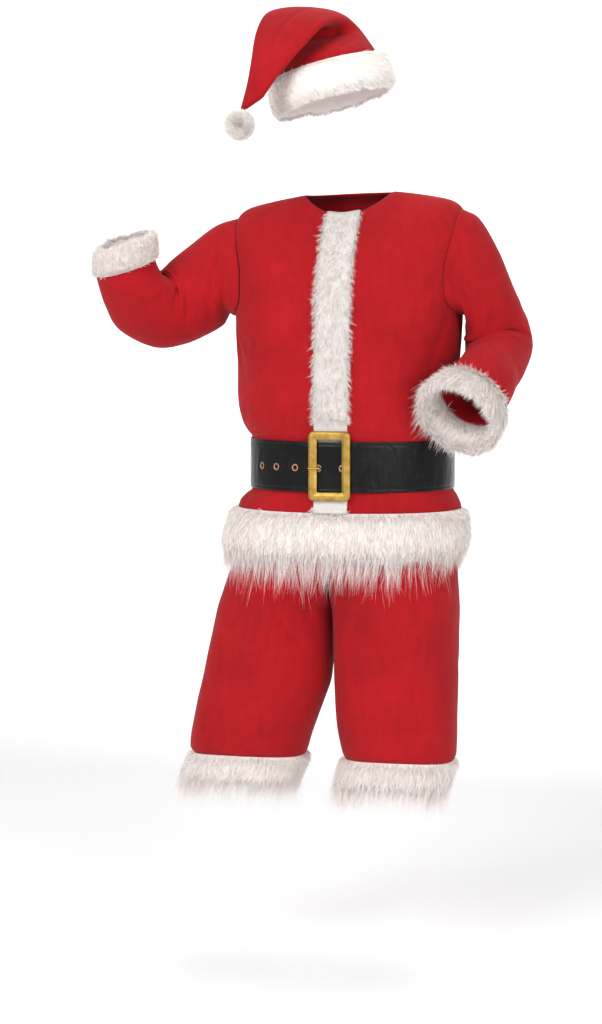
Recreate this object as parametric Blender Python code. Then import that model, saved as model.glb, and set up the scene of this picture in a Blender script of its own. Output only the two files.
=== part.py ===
# A santa suit in its worn form: jacket, belt, knee-length trousers and hat, all hollow.
# Metres, +Z up, the front faces -Y, the origin is at the base of the neck.
# "Right" and "left" in names are the wearer's own: right is -X, left is +X.
import math

import bpy
import numpy as np

CLOTH = 0.0024            # wall of the plush cloth
SEAM = 0.0003             # gap between neighbouring pieces
FACET_ROOM = 0.0010       # more room where two faceted tubes of other steps lie close
BELT_TOP_Z = -0.464
BELT_BOTTOM_Z = -0.562
JACKET_HEM_Z = -0.600
WAISTBAND_TOP_Z = -0.500
WAISTBAND_BOTTOM_Z = -0.540
TROUSER_HEM_Z = -1.092

TORSO_COLUMNS = ("z_side", "z_front", "z_back", "half_width", "front", "back", "shift", "tilt", "square")
TORSO = np.array((
    (0.008, -0.036, 0.012, 0.088, 0.058, 0.088, 0.0, 0.03, 2.0),      # neck edge
    (0.003, -0.070, -0.004, 0.122, 0.088, 0.112, 0.0, 0.03, 2.1),
    (-0.005, -0.110, -0.040, 0.166, 0.116, 0.128, 0.0, 0.03, 2.2),
    (-0.014, -0.148, -0.085, 0.200, 0.135, 0.134, 0.0, 0.03, 2.3),
    (-0.031, -0.176, -0.122, 0.220, 0.143, 0.135, 0.0, 0.03, 2.3),    # top of the armholes
    (-0.078, -0.203, -0.160, 0.229, 0.149, 0.136, 0.0, 0.02, 2.3),
    (-0.135, -0.234, -0.203, 0.229, 0.153, 0.136, 0.0, 0.01, 2.3),
    (-0.186, -0.264, -0.243, 0.225, 0.157, 0.136, -0.001, 0.01, 2.3),
    (-0.228, -0.292, -0.278, 0.222, 0.160, 0.136, -0.003, 0.01, 2.3),    # underarm
    (-0.286, -0.329, -0.322, 0.220, 0.164, 0.136, -0.003, 0.0, 2.3),
    (-0.345, -0.370, -0.366, 0.218, 0.167, 0.136, -0.003, 0.0, 2.25),
    (-0.395, -0.408, -0.406, 0.217, 0.168, 0.137, -0.002, 0.0, 2.2),    # blouses over the belt
    (-0.432, -0.436, -0.436, 0.212, 0.168, 0.136, 0.002, 0.0, 2.2),
    (-0.452, -0.452, -0.452, 0.2030, 0.167, 0.132, 0.004, 0.0, 2.2),
    (BELT_TOP_Z, BELT_TOP_Z, BELT_TOP_Z, 0.1970, 0.166, 0.129, 0.006, 0.0, 2.2),
    (BELT_BOTTOM_Z, BELT_BOTTOM_Z, BELT_BOTTOM_Z, 0.1970, 0.166, 0.129, 0.006, 0.0, 2.2),
    (-0.574, -0.574, -0.574, 0.2060, 0.167, 0.133, 0.003, 0.0, 2.2),
    (-0.588, -0.588, -0.588, 0.2160, 0.169, 0.138, 0.0, 0.0, 2.2),
    (JACKET_HEM_Z, JACKET_HEM_Z, JACKET_HEM_Z, 0.2195, 0.171, 0.141, 0.0, 0.0, 2.2),
))
ARMHOLE_TOP_ROW = 4
UNDERARM_ROW = 8
BELT_TOP_ROW = 14
HEM_ROW = len(TORSO) - 1
ARMHOLE_HALF_ANGLE = 0.55
ARMHOLE_STEPS = 9
FRONT_COLUMNS = 9

# The largest folds of the jacket: angle and row of the middle, depth, and half sizes.
TORSO_FOLD_COLUMNS = ("angle", "row", "depth", "angle_spread", "row_spread")
TORSO_FOLDS = (
    (-150, 9.6, -0.006, 16, 0.9),
    (-128, 12.2, 0.004, 12, 0.8),
    (-62, 12.3, 0.004, 12, 0.8),
    (-112, 5.5, -0.004, 10, 1.3),
    (-68, 5.5, -0.004, 10, 1.3),
    (40, 11.8, 0.005, 14, 0.9),
    (78, 12.2, -0.004, 12, 0.9),
    (-24, 10.6, -0.014, 24, 1.6),    # the forearm presses the belly in here
    (118, 11.9, 0.005, 14, 0.9),
    (65, 5.5, -0.005, 12, 1.5),
    (122, 5.3, -0.005, 12, 1.5),
)

# Middles and half sizes of the sleeves' sections from the armhole to the cuff seam.
# "half_up" runs along the vector that starts upright at the armhole, "half_front" along
# the one that starts forwards; "armhole" is the share of the armhole's own shape.
SLEEVE_COLUMNS = ("x", "y", "z", "half_up", "half_front", "armhole")
SLEEVE_RIGHT = np.array((
    (-0.250, -0.004, -0.146, 0.076, 0.083, 0.60),
    (-0.284, -0.010, -0.172, 0.080, 0.083, 0.30),
    (-0.318, -0.023, -0.194, 0.079, 0.082, 0.10),
    (-0.350, -0.041, -0.209, 0.079, 0.081, 0.0),
    (-0.374, -0.064, -0.214, 0.077, 0.079, 0.0),     # elbow
    (-0.392, -0.090, -0.208, 0.067, 0.075, 0.0),
    (-0.402, -0.110, -0.184, 0.060, 0.069, 0.0),
    (-0.411, -0.119, -0.160, 0.058, 0.063, 0.0),
    (-0.417, -0.126, -0.135, 0.059, 0.060, 0.0),     # cuff seam
))
SLEEVE_LEFT = np.array((
    (0.2340, 0.003, -0.1480, 0.040, 0.082, 0.88),
    (0.2490, 0.012, -0.1780, 0.038, 0.080, 0.60),
    (0.2665, 0.026, -0.2140, 0.048, 0.077, 0.25),
    (0.2810, 0.040, -0.2500, 0.061, 0.075, 0.0),
    (0.2865, 0.040, -0.2840, 0.065, 0.074, 0.0),     # elbow
    (0.2845, 0.008, -0.3130, 0.061, 0.069, 0.0),
    (0.2810, -0.038, -0.3330, 0.058, 0.064, 0.0),
    (0.2750, -0.086, -0.3550, 0.062, 0.065, 0.0),
    (0.2610, -0.122, -0.3820, 0.0645, 0.066, 0.0),    # cuff seam
))
SLEEVE_FOLD_COLUMNS = ("station", "angle", "depth", "station_spread", "angle_spread")
SLEEVE_RIGHT_FOLDS = (
    (4.6, 0, -0.016, 0.7, 38),
    (3.2, 40, 0.006, 0.6, 30),
    (3.0, -70, -0.006, 0.8, 30),
    (5.8, 60, 0.005, 0.6, 35),
    (2.0, 150, -0.005, 0.8, 30),
    (6.4, 180, -0.012, 0.9, 45),
)
SLEEVE_LEFT_FOLDS = (
    (4.6, 90, -0.014, 0.7, 40),
    (3.7, 138, 0.028, 1.2, 28),
    (5.8, 60, 0.005, 0.6, 35),
    (2.4, 20, -0.005, 0.9, 30),
)

# Trouser sections: the outseam and inseam of each leg, and the front and back.
# Above the crotch a section closes past the centre seam, which cuts it.
LEG_COLUMNS = ("z", "right_out", "right_in", "left_in", "left_out", "front", "back")
LEGS = np.array((
    (WAISTBAND_BOTTOM_Z - SEAM, -0.196, 0.180, -0.180, 0.196, -0.160, 0.126),
    (BELT_BOTTOM_Z - 0.004, -0.196, 0.180, -0.180, 0.196, -0.160, 0.126),
    (-0.605, -0.203, 0.140, -0.140, 0.203, -0.159, 0.129),
    (-0.655, -0.211, 0.080, -0.095, 0.208, -0.160, 0.131),
    (-0.695, -0.221, 0.035, -0.062, 0.2125, -0.159, 0.134),
    (-0.735, -0.237, 0.010, -0.046, 0.2140, -0.155, 0.135),
    (-0.770, -0.250, -0.012, -0.037, 0.2155, -0.148, 0.138),
    (-0.800, -0.260, -0.0303, -0.0297, 0.2165, -0.142, 0.136),     # crotch
    (-0.850, -0.272, -0.0325, -0.0275, 0.2165, -0.136, 0.127),
    (-0.900, -0.284, -0.0345, -0.0265, 0.2165, -0.132, 0.118),
    (-0.940, -0.293, -0.0375, -0.0255, 0.2165, -0.130, 0.111),
    (-0.985, -0.303, -0.0510, -0.0225, 0.2165, -0.129, 0.104),
    (-1.025, -0.310, -0.0650, -0.0180, 0.2165, -0.129, 0.099),
    (-1.058, -0.3155, -0.0765, -0.0120, 0.2160, -0.129, 0.097),
    (-1.080, -0.3170, -0.0825, -0.0070, 0.2150, -0.126, 0.094),
    (TROUSER_HEM_Z, -0.3110, -0.0870, -0.0020, 0.2110, -0.118, 0.087),
))
CROTCH_ROW = 7
CENTRE_SEAM_SHIFT = -0.030   # the hips lean, so the centre seam runs over to here at the crotch
LEG_SQUARE = 2.15
HEM_ARCH = 0.008            # each leg's end lies this much higher in front and behind
ARCH_START_ROW = 12
LEG_STEPS = 22
LEG_FOLD_COLUMNS = ("z", "angle", "depth", "z_spread", "angle_spread")
LEG_RIGHT_FOLDS = (
    (-0.86, 245, -0.007, 0.10, 16),
    (-0.97, 285, 0.005, 0.09, 16),
    (-1.02, 225, 0.005, 0.06, 18),
    (-0.90, 120, -0.007, 0.10, 18),
    (-1.00, 70, -0.006, 0.08, 18),
)
LEG_LEFT_FOLDS = (
    (-0.87, 250, -0.006, 0.10, 16),
    (-0.99, 292, -0.006, 0.09, 16),
    (-1.03, 245, 0.005, 0.05, 18),
    (-0.92, 70, -0.007, 0.10, 18),
    (-1.00, 120, -0.006, 0.08, 18),
)

# Hat crown: sections up from the band, over the fold and down the hanging tail.
# "roll" leans a section sideways, "pitch" tips it forwards over the fold.
HAT_COLUMNS = ("x", "y", "z", "half_width", "half_depth", "roll", "pitch")
HAT = np.array((
    (-0.045, 0.004, 0.236, 0.107, 0.114, 15, 0),
    (-0.050, 0.005, 0.258, 0.098, 0.108, 15, 0),
    (-0.056, 0.006, 0.280, 0.090, 0.092, 13, 3),
    (-0.062, 0.004, 0.303, 0.083, 0.067, 9, 12),
    (-0.069, -0.006, 0.325, 0.079, 0.043, 0, 35),
    (-0.076, -0.026, 0.339, 0.076, 0.026, -4, 68),
    (-0.081, -0.054, 0.340, 0.074, 0.018, -5, 95),
    (-0.088, -0.084, 0.329, 0.070, 0.015, -1, 125),
    (-0.096, -0.110, 0.307, 0.067, 0.014, 8, 148),
    (-0.107, -0.131, 0.271, 0.059, 0.014, 17, 162),
    (-0.122, -0.145, 0.235, 0.048, 0.014, 24, 170),
    (-0.140, -0.154, 0.200, 0.035, 0.013, 27, 174),
    (-0.154, -0.160, 0.170, 0.026, 0.012, 28, 176),
))
HAT_TIP = (-0.1660, -0.163, 0.1570)
HAT_STEPS = 26
POMPOM_RADIUS = 0.029
POMPOM_CENTRE = (-0.1763, -0.1677, 0.1299)

BAND_HALF_WIDTH = 0.035     # fur band down the centre front
BAND_PILE = 0.0085
BAND_PILE_UNDER_BELT = 0.0025
BAND_COLUMNS = (-1.0, -0.62, 0.0, 0.62, 1.0)
BAND_EDGE_THINNING = 0.35    # how much of the pile is lost at the band's two edges
PRESSED_ABOVE_BELT, RISE_ABOVE_BELT = 0.024, 0.03    # where the pile stands up again
PRESSED_BELOW_BELT, RISE_BELOW_BELT = 0.020, 0.02

# Fur rings as section outlines: how far along the pile, how far out of the seam's loop,
# and the share that a point takes of its lock's extra length.
FUR_COLUMNS = ("along", "out", "lock")
HEM_FUR = ((0.0, 0.0, 0), (0.008, 0.010, 0), (0.030, 0.019, 0), (0.062, 0.026, 0),
           (0.090, 0.026, 0.3), (0.100, 0.021, 1), (0.060, 0.010, 0), (0.020, -0.001, 0),
           (0.0, -CLOTH, 0))
CUFF_FUR_RIGHT = ((0.0, 0.0, 0), (0.005, 0.005, 0), (0.024, 0.007, 0), (0.046, 0.006, 0.2),
                  (0.054, 0.001, 1), (0.046, -0.007, 0.3), (0.018, -0.006, 0), (0.0, -CLOTH, 0))
CUFF_FUR_LEFT = ((0.0, 0.0, 0), (0.006, 0.009, 0), (0.028, 0.018, 0), (0.056, 0.026, 0.2),
                 (0.070, 0.020, 1), (0.052, 0.004, 0.3), (0.020, -0.004, 0), (0.0, -CLOTH, 0))
LEG_FUR = ((0.0, 0.0, 0), (0.008, 0.007, 0), (0.028, 0.011, 0), (0.052, 0.011, 0.2),
           (0.068, 0.005, 1), (0.050, -0.002, 0.2), (0.020, -0.005, 0), (0.0, -CLOTH, 0))
HAT_FUR = ((-0.012, 0.004, -0.5), (-0.008, 0.009, 0), (0.012, 0.015, 0), (0.034, 0.018, 0),
           (0.045, 0.013, 0.5), (0.051, 0.005, 1), (0.036, 0.0, 0), (0.001, -CLOTH, 0),
           (0.001, 0.0018, 0))
HEM_LOCKS = 32
CUFF_LOCKS = 13
LEG_LOCKS = 18
HEM_LOCK_LENGTH = (0.014, 0.036)    # at the sides, and how much more at front and back
CUFF_LOCK_LENGTH = {"right": 0.008, "left": 0.022}
LEG_LOCK_LENGTH = 0.060
HAT_LOCK_LENGTH = 0.005
# The ways that the trims' fur lies.
DOWN = (0.0, 0.0, -1.0)
HEM_PILE = (-0.12, 0.0, -1.0)
CUFF_PILE_RIGHT = (0.04, -0.2, 0.98)
LEG_PILE = {"right": (-0.38, 0.0, -1.0), "left": (-0.28, 0.0, -1.0)}

BELT_THICKNESS = 0.0022
BELT_STEPS = 84
BELT_START_ANGLE = 2.0
BELT_END_ANGLE = 34.0       # how far the free end runs past the buckle
BELT_TIP_ANGLE = 7.0
BELT_TIP_SQUARENESS = 0.4    # height of the blunt tip against the strap's
OVER_BAND_TURN, OVER_BAND_RAMP = 26.0, 14.0     # the strap steps over the fur band here
LAYER_TURN, LAYER_RAMP = 250.0, 90.0             # and out over its own start from here on
BELT_CLEAR = 0.001          # the strap is narrower than its hollow by this at either edge
ARC_TURNS, ARC_STEPS = (-75.0, 30.0), 400        # the part of the strap that is measured for the eyelets
EYELET_ARCS = (0.0185, -0.0285, -0.0765, -0.1205, -0.1625)
EYELET_Z = -0.5150
EYELET_RADIUS = 0.0058
EYELET_WIRE = 0.0014
EYELET_RISE = 0.0006      # half of an eyelet's height
EYELET_STEPS = 12
EYELET_SECTION_STEPS = 5
BUCKLE_Z = -0.5105
BUCKLE_WIDTH = 0.081
BUCKLE_HEIGHT = 0.132
BUCKLE_BAR = 0.0165
BUCKLE_DEPTH = 0.0055
BUCKLE_CORNER = 0.011
BUCKLE_INNER_CORNER = 0.002
BUCKLE_CORNER_STEPS = 4
# How far in from the outer edge and how high, as a share of the depth, the frame's profile runs.
BUCKLE_PROFILE = ((0.0, 0.0), (0.0, 0.55), (0.0028, 1.0), (BUCKLE_BAR - 0.0035, 1.0),
                  (BUCKLE_BAR, 0.5), (BUCKLE_BAR, 0.0))
PRONG_RADIUS = 0.0019
PRONG_SIDES = 8
PRONG_SINK = 2.6            # the root lies this many radii out from the eyelet
PRONG_DIP = 0.0004          # and this much under the part that crosses the bar
PRONG_REACH = (0.004, 0.001, -0.006)    # along the strap, from the bar's inner edge
PRONG_OVERHANG = 0.001
PRONG_TAPER = (1.0, 1.0, 0.95, 0.7)

WAISTBAND_LAYERS = 1.25     # the waistband's wall against a plain one


def smooth_rows(table, rows):
    """Values of every column at fractional row numbers, by a monotone cubic through the rows."""
    rows = np.atleast_1d(np.asarray(rows, float))
    slope = np.diff(table, axis=0)
    tangent = np.zeros_like(table)
    tangent[0], tangent[-1] = slope[0], slope[-1]
    before, after = slope[:-1], slope[1:]
    same = before * after > 0
    total = np.where(same, before + after, 1.0)
    tangent[1:-1] = np.where(same, 2 * before * after / total, 0.0)
    low = np.clip(np.floor(rows).astype(int), 0, len(table) - 2)
    t = (rows - low)[:, None]
    a, b = table[low], table[low + 1]
    return (a * (1 + 2 * t) * (1 - t) ** 2 + b * t * t * (3 - 2 * t)
            + tangent[low] * t * (1 - t) ** 2 - tangent[low + 1] * t * t * (1 - t))


def smooth_step(x):
    x = np.clip(x, 0.0, 1.0)
    return x * x * (3 - 2 * x)


def power(value, exponent):
    """A signed power, which squares up an ellipse."""
    return np.sign(value) * np.abs(value) ** exponent


def unit(vectors):
    return vectors / np.linalg.norm(vectors, axis=-1, keepdims=True)


def turn_between(a, b):
    """Smallest difference of two angles in degrees."""
    return (a - b + 180.0) % 360.0 - 180.0


def torso(angle, row):
    """Points of the jacket's outer face: angle 0 at +X, -90 degrees at the front."""
    angle, row = np.broadcast_arrays(np.asarray(angle, float), np.asarray(row, float))
    values = smooth_rows(TORSO, row.ravel()).T.reshape((-1,) + row.shape)
    section = dict(zip(TORSO_COLUMNS, values))
    curve = 2 / section["square"]
    along, across = np.cos(angle), np.sin(angle)
    puff = np.zeros_like(angle)
    for fold in (dict(zip(TORSO_FOLD_COLUMNS, fold_row)) for fold_row in TORSO_FOLDS):
        apart = turn_between(np.degrees(angle), fold["angle"]) / fold["angle_spread"]
        down = (row - fold["row"]) / fold["row_spread"]
        puff += fold["depth"] * np.exp(-apart ** 2 - down ** 2)
    in_front = across < 0
    x = section["shift"] + power(along, curve) * (section["half_width"] + puff)
    y = power(across, curve) * (np.where(in_front, section["front"], section["back"]) + puff)
    z_middle = np.where(in_front, section["z_front"], section["z_back"])
    z = section["z_side"] + across ** 2 * (z_middle - section["z_side"]) + section["tilt"] * x
    return np.stack((x, y, z), axis=-1)


def torso_normal(angle, row):
    """Outward unit normals of the jacket's outer face, by small differences."""
    small_angle, small_row = 0.004, 0.02
    row = np.asarray(row, float)
    upper = np.clip(row - small_row, 0, HEM_ROW)
    lower = np.clip(row + small_row, 0, HEM_ROW)
    down = torso(angle, lower) - torso(angle, upper)
    around = torso(angle + small_angle, row) - torso(angle - small_angle, row)
    return unit(np.cross(down, around))


def row_at_belt(z):
    """Fractional row of a height between the belt's two edges."""
    rows = np.linspace(BELT_TOP_ROW, BELT_TOP_ROW + 1, 200)
    heights = smooth_rows(TORSO, rows)[:, 0]
    return np.interp(-np.asarray(z, float), -heights, rows)


def armhole_opening(row):
    """Half of the angle that the armhole takes at a row."""
    middle = (ARMHOLE_TOP_ROW + UNDERARM_ROW) / 2
    half = (UNDERARM_ROW - ARMHOLE_TOP_ROW) / 2
    return ARMHOLE_HALF_ANGLE * np.sqrt(np.clip(1 - ((row - middle) / half) ** 2, 0, 1))


def armhole_rows():
    middle = (ARMHOLE_TOP_ROW + UNDERARM_ROW) / 2
    half = (UNDERARM_ROW - ARMHOLE_TOP_ROW) / 2
    return middle - half * np.cos(np.linspace(0, math.pi, ARMHOLE_STEPS + 1))


def make_material(name, colour, roughness, metallic=0.0):
    material = bpy.data.materials.new(name)
    material.use_nodes = True
    shader = material.node_tree.nodes["Principled BSDF"]
    shader.inputs["Base Color"].default_value = (*colour, 1.0)
    shader.inputs["Roughness"].default_value = roughness
    shader.inputs["Metallic"].default_value = metallic
    material.diffuse_color = (*colour, 1.0)
    return material


def make_solid(name, points, faces, material):
    """One object from a closed mesh, turned so that its faces point out."""
    points = np.asarray(points, float).reshape(-1, 3)
    loops = []
    for face in faces:
        corners = [v for k, v in enumerate(face) if v != face[k - 1]]
        if len(corners) > 2:
            loops.append(corners)
    volume = 0.0
    for corners in loops:
        first = points[corners[0]]
        for second, third in zip(corners[1:-1], corners[2:]):
            volume += np.dot(first, np.cross(points[second], points[third]))
    if volume < 0:
        loops = [corners[::-1] for corners in loops]
    used = sorted({v for corners in loops for v in corners})
    number = {v: k for k, v in enumerate(used)}
    mesh = bpy.data.meshes.new(name)
    mesh.from_pydata(points[used].tolist(), [], [[number[v] for v in c] for c in loops])
    mesh.materials.append(material)
    mesh.shade_smooth()
    mesh.set_sharp_from_angle(angle=math.radians(50))
    obj = bpy.data.objects.new(name, mesh)
    bpy.context.scene.collection.objects.link(obj)
    return obj


def grid_faces(index):
    """Quads between neighbouring rows and columns of a grid of point numbers."""
    return [(int(a), int(b), int(c), int(d)) for a, b, c, d in zip(
        index[:-1, :-1].ravel(), index[1:, :-1].ravel(), index[1:, 1:].ravel(), index[:-1, 1:].ravel())]


def make_wall(name, outer, inner, index, material):
    """A wall between two grids of points: both faces, and a rim along each open edge."""
    outer, inner = outer.reshape(-1, 3), inner.reshape(-1, 3)
    count = len(outer)
    faces = []
    for face in grid_faces(index):
        corners = [v for k, v in enumerate(face) if v != face[k - 1]]
        if len(corners) > 2:
            faces.append(corners)
    edges = {}
    for corners in faces:
        for a, b in zip(corners, corners[1:] + corners[:1]):
            edges[(a, b)] = True
    rims = [(b, a, a + count, b + count) for a, b in edges if (b, a) not in edges]
    inside = [tuple(v + count for v in corners[::-1]) for corners in faces]
    make_solid(name, np.concatenate((outer, inner)), faces + inside + rims, material)


def open_index(rows, columns):
    return np.arange(rows * columns).reshape(rows, columns)


def ring_index(rows, columns):
    index = open_index(rows, columns)
    return np.concatenate((index, index[:, :1]), axis=1)


def closed_index(rows, columns):
    index = ring_index(rows, columns)
    return np.concatenate((index, index[:1]))


def make_panel(name, angles, rows, material):
    """A jacket panel between two edges given as angles at every row."""
    row = np.broadcast_to(rows[:, None], angles.shape)
    outer = torso(angles, row)
    inner = outer - torso_normal(angles, row) * CLOTH
    for grid in (outer, inner):
        grid[:, 0] += unit(grid[:, 1] - grid[:, 0]) * SEAM / 2
        grid[:, -1] += unit(grid[:, -2] - grid[:, -1]) * SEAM / 2
    inner[-1, :, 2] = outer[-1, :, 2]
    make_wall(name, outer, inner, open_index(*angles.shape), material)


def jacket_rows():
    return np.concatenate((np.arange(ARMHOLE_TOP_ROW), armhole_rows(),
                           np.arange(UNDERARM_ROW + 1, HEM_ROW + 1)))


def make_jacket_body(cloth):
    rows = jacket_rows()
    cut = armhole_opening(rows)[:, None]
    across = np.linspace(0, 1, FRONT_COLUMNS + 1)
    quarter = math.pi / 2
    right_edge = -math.pi + cut
    make_panel("jacket_front_right", right_edge + across * (-quarter - right_edge), rows, cloth)
    make_panel("jacket_front_left", -quarter + across * (quarter - cut), rows, cloth)
    across = np.linspace(0, 1, 2 * FRONT_COLUMNS + 1)
    make_panel("jacket_back", cut + across * (math.pi - 2 * cut), rows, cloth)


def armhole_loop(side):
    """The armhole's edge from its top down the front and up the back, and its outward normals."""
    rows = armhole_rows()
    cut = armhole_opening(rows)
    rows = np.concatenate((rows, rows[-2:0:-1]))
    swing = np.concatenate((-cut, cut[-2:0:-1]))
    angle = swing if side > 0 else math.pi - swing
    return torso(angle, rows), torso_normal(angle, rows)


def carried_frames(tangent, first_up):
    """Up and across vectors along a path, turned as little as possible."""
    ups = []
    up = np.array(first_up, float)
    for direction in tangent:
        up = up - direction * np.dot(up, direction)
        up = up / np.linalg.norm(up)
        ups.append(up)
    ups = np.array(ups)
    return ups, np.cross(tangent, ups)


def tube_normals(rings):
    """Outward normals of closed rings that run away from their first one."""
    along = np.gradient(rings, axis=0)
    around = np.roll(rings, -1, axis=1) - np.roll(rings, 1, axis=1)
    normal = unit(np.cross(along, around))
    middle = rings.mean(axis=1, keepdims=True)
    facing = np.sign((normal * (rings - middle)).sum(axis=-1).mean())
    return normal * facing


def sleeve_rings(side, table, folds):
    """Rings from the armhole's own loop to the round cuff seam."""
    loop, loop_normal = armhole_loop(side)
    loop = loop + loop_normal * SEAM
    start = loop.mean(axis=0)
    column = dict(zip(SLEEVE_COLUMNS, table.T))
    path = np.stack((column["x"], column["y"], column["z"]), axis=-1)
    centres = np.concatenate((start[None], path))
    share = np.concatenate(((1.0,), column["armhole"]))[:, None]
    tangent = unit((1 - share) * unit(np.gradient(centres, axis=0)) + share * np.array((side, 0, 0)))
    ups, across = carried_frames(tangent, (0.0, 0.0, 1.0))
    if side < 0:
        across = -across
    local = loop - start
    count = len(loop)
    angle = np.linspace(0, 2 * math.pi, count, endpoint=False)
    rings = [loop]
    for k in range(1, len(centres)):
        half_up, half_front = column["half_up"][k - 1], column["half_front"][k - 1]
        own = share[k, 0]
        puff = np.zeros(count)
        for fold in (dict(zip(SLEEVE_FOLD_COLUMNS, fold_row)) for fold_row in folds):
            apart = turn_between(np.degrees(angle), fold["angle"]) / fold["angle_spread"]
            ahead = (k - fold["station"]) / fold["station_spread"]
            puff += fold["depth"] * np.exp(-apart ** 2 - ahead ** 2)
        up_size = (1 - own) * np.cos(angle) * (half_up + puff) + own * local[:, 2]
        across_size = (1 - own) * np.sin(angle) * (half_front + puff) - own * local[:, 1]
        lead = own * local[:, 0] * side
        rings.append(centres[k] + up_size[:, None] * ups[k] + across_size[:, None] * across[k]
                     + lead[:, None] * tangent[k])
    return np.array(rings), tangent


def make_tube(name, rings, material):
    """A cloth tube through closed rings, open at both ends."""
    inner = rings - tube_normals(rings) * CLOTH
    make_wall(name, rings, inner, ring_index(*rings.shape[:2]), material)
    return rings


def resampled(loop, count):
    """Evenly spaced points on a closed loop."""
    closed = np.concatenate((loop, loop[:1]))
    travelled = np.concatenate(([0], np.cumsum(np.linalg.norm(np.diff(closed, axis=0), axis=1))))
    at = np.linspace(0, travelled[-1], count, endpoint=False)
    return np.stack([np.interp(at, travelled, closed[:, k]) for k in range(3)], axis=-1)


def ring_outward(loop, along):
    """Unit vectors that point out of a loop, square to it and to the pile."""
    around = unit(np.roll(loop, -1, axis=0) - np.roll(loop, 1, axis=0))
    out = unit(np.cross(around, np.broadcast_to(along, loop.shape)))
    middle = loop.mean(axis=0)
    facing = np.sign((out * (loop - middle)).sum())
    return out * facing


def lock_lengths(count, longest, seed):
    """Extra length of each point of a ragged edge: tips with deep notches between."""
    rng = np.random.default_rng(seed)
    tips = rng.uniform(0.55, 1.0, count)
    notches = rng.uniform(-0.25, 0.1, count)
    return np.where(np.arange(count) % 2 == 0, tips, notches) * longest


def make_fur_ring(name, loop, facing, pile, outline, locks, material):
    """A closed ring of fur on a seam's loop: the seam faces one way and the pile lies another."""
    facing, pile = unit(np.asarray(facing, float)), unit(np.asarray(pile, float))
    out = ring_outward(loop, facing)
    column = dict(zip(FUR_COLUMNS, np.array(outline).T[:, None]))
    reach = column["along"] + locks[:, None] * column["lock"]
    points = loop[:, None] + SEAM * facing + reach[..., None] * pile + column["out"][..., None] * out[:, None]
    make_solid(name, points, grid_faces(closed_index(*points.shape[:2])), material)


def make_sleeves(cloth, fur):
    for side, word, table, folds, outline, seed in (
            (-1, "right", SLEEVE_RIGHT, SLEEVE_RIGHT_FOLDS, CUFF_FUR_RIGHT, 3),
            (1, "left", SLEEVE_LEFT, SLEEVE_LEFT_FOLDS, CUFF_FUR_LEFT, 4)):
        rings, tangent = sleeve_rings(side, table, folds)
        make_tube("sleeve_" + word, rings, cloth)
        loop = resampled(rings[-1], 2 * CUFF_LOCKS)
        locks = lock_lengths(len(loop), CUFF_LOCK_LENGTH[word], seed)
        pile = CUFF_PILE_RIGHT if word == "right" else tangent[-1]
        make_fur_ring("fur_cuff_" + word, loop, tangent[-1], pile, outline, locks, fur)


def make_hem_fur(fur):
    """The jacket's hem: longer locks at the front and back than at the sides."""
    angle = np.linspace(0, 2 * math.pi, 2 * HEM_LOCKS, endpoint=False)
    loop = torso(angle, np.full(len(angle), float(HEM_ROW)))
    shortest, more = HEM_LOCK_LENGTH
    locks = lock_lengths(len(loop), 1.0, 5) * (shortest + more * np.abs(np.sin(angle)))
    make_fur_ring("fur_hem", loop, DOWN, HEM_PILE, HEM_FUR, locks, fur)


def make_front_band(fur):
    """The fur band down the centre front, pressed flat under the belt and the buckle."""
    rows = jacket_rows()
    section = dict(zip(TORSO_COLUMNS, smooth_rows(TORSO, rows).T[..., None]))
    across = np.array(BAND_COLUMNS)
    reach = (across * BAND_HALF_WIDTH - section["shift"]) / section["half_width"]
    angle = -math.pi / 2 + np.sign(reach) * np.arcsin(np.abs(reach) ** (section["square"] / 2))
    row = np.broadcast_to(rows[:, None], angle.shape)
    surface, normal = torso(angle, row), torso_normal(angle, row)
    height = surface[..., 2]
    free = smooth_step((height - BELT_TOP_Z - PRESSED_ABOVE_BELT) / RISE_ABOVE_BELT)
    free = np.maximum(free, smooth_step((BELT_BOTTOM_Z - PRESSED_BELOW_BELT - height) / RISE_BELOW_BELT))
    pile = BAND_PILE_UNDER_BELT + (BAND_PILE - BAND_PILE_UNDER_BELT) * free
    pile = pile * (1 - BAND_EDGE_THINNING * np.abs(across) ** 3)
    inner = surface + normal * SEAM
    outer = surface + normal * (SEAM + pile[..., None])
    outer[-1, :, 2] = inner[-1, :, 2]
    make_wall("fur_front_band", outer, inner, open_index(*angle.shape), fur)


def belt_line(turn):
    """Inner face of the strap in plan: turn 0 is the start behind the buckle, in degrees."""
    angle = np.radians(turn - 90.0)
    middle = np.full(np.shape(angle), row_at_belt(BUCKLE_Z))
    point, normal = torso(angle, middle), torso_normal(angle, middle)
    arc = turn_between(np.asarray(turn, float), 0.0)
    over_band = smooth_step((OVER_BAND_TURN - np.abs(arc)) / OVER_BAND_RAMP) * BAND_PILE_UNDER_BELT
    layer = smooth_step((np.asarray(turn, float) - LAYER_TURN) / LAYER_RAMP) * (BELT_THICKNESS + SEAM)
    lift = 2 * SEAM + over_band + layer
    flat = normal * np.array((1.0, 1.0, 0.0))
    flat = unit(flat)
    return point + flat * lift[..., None], flat


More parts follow.
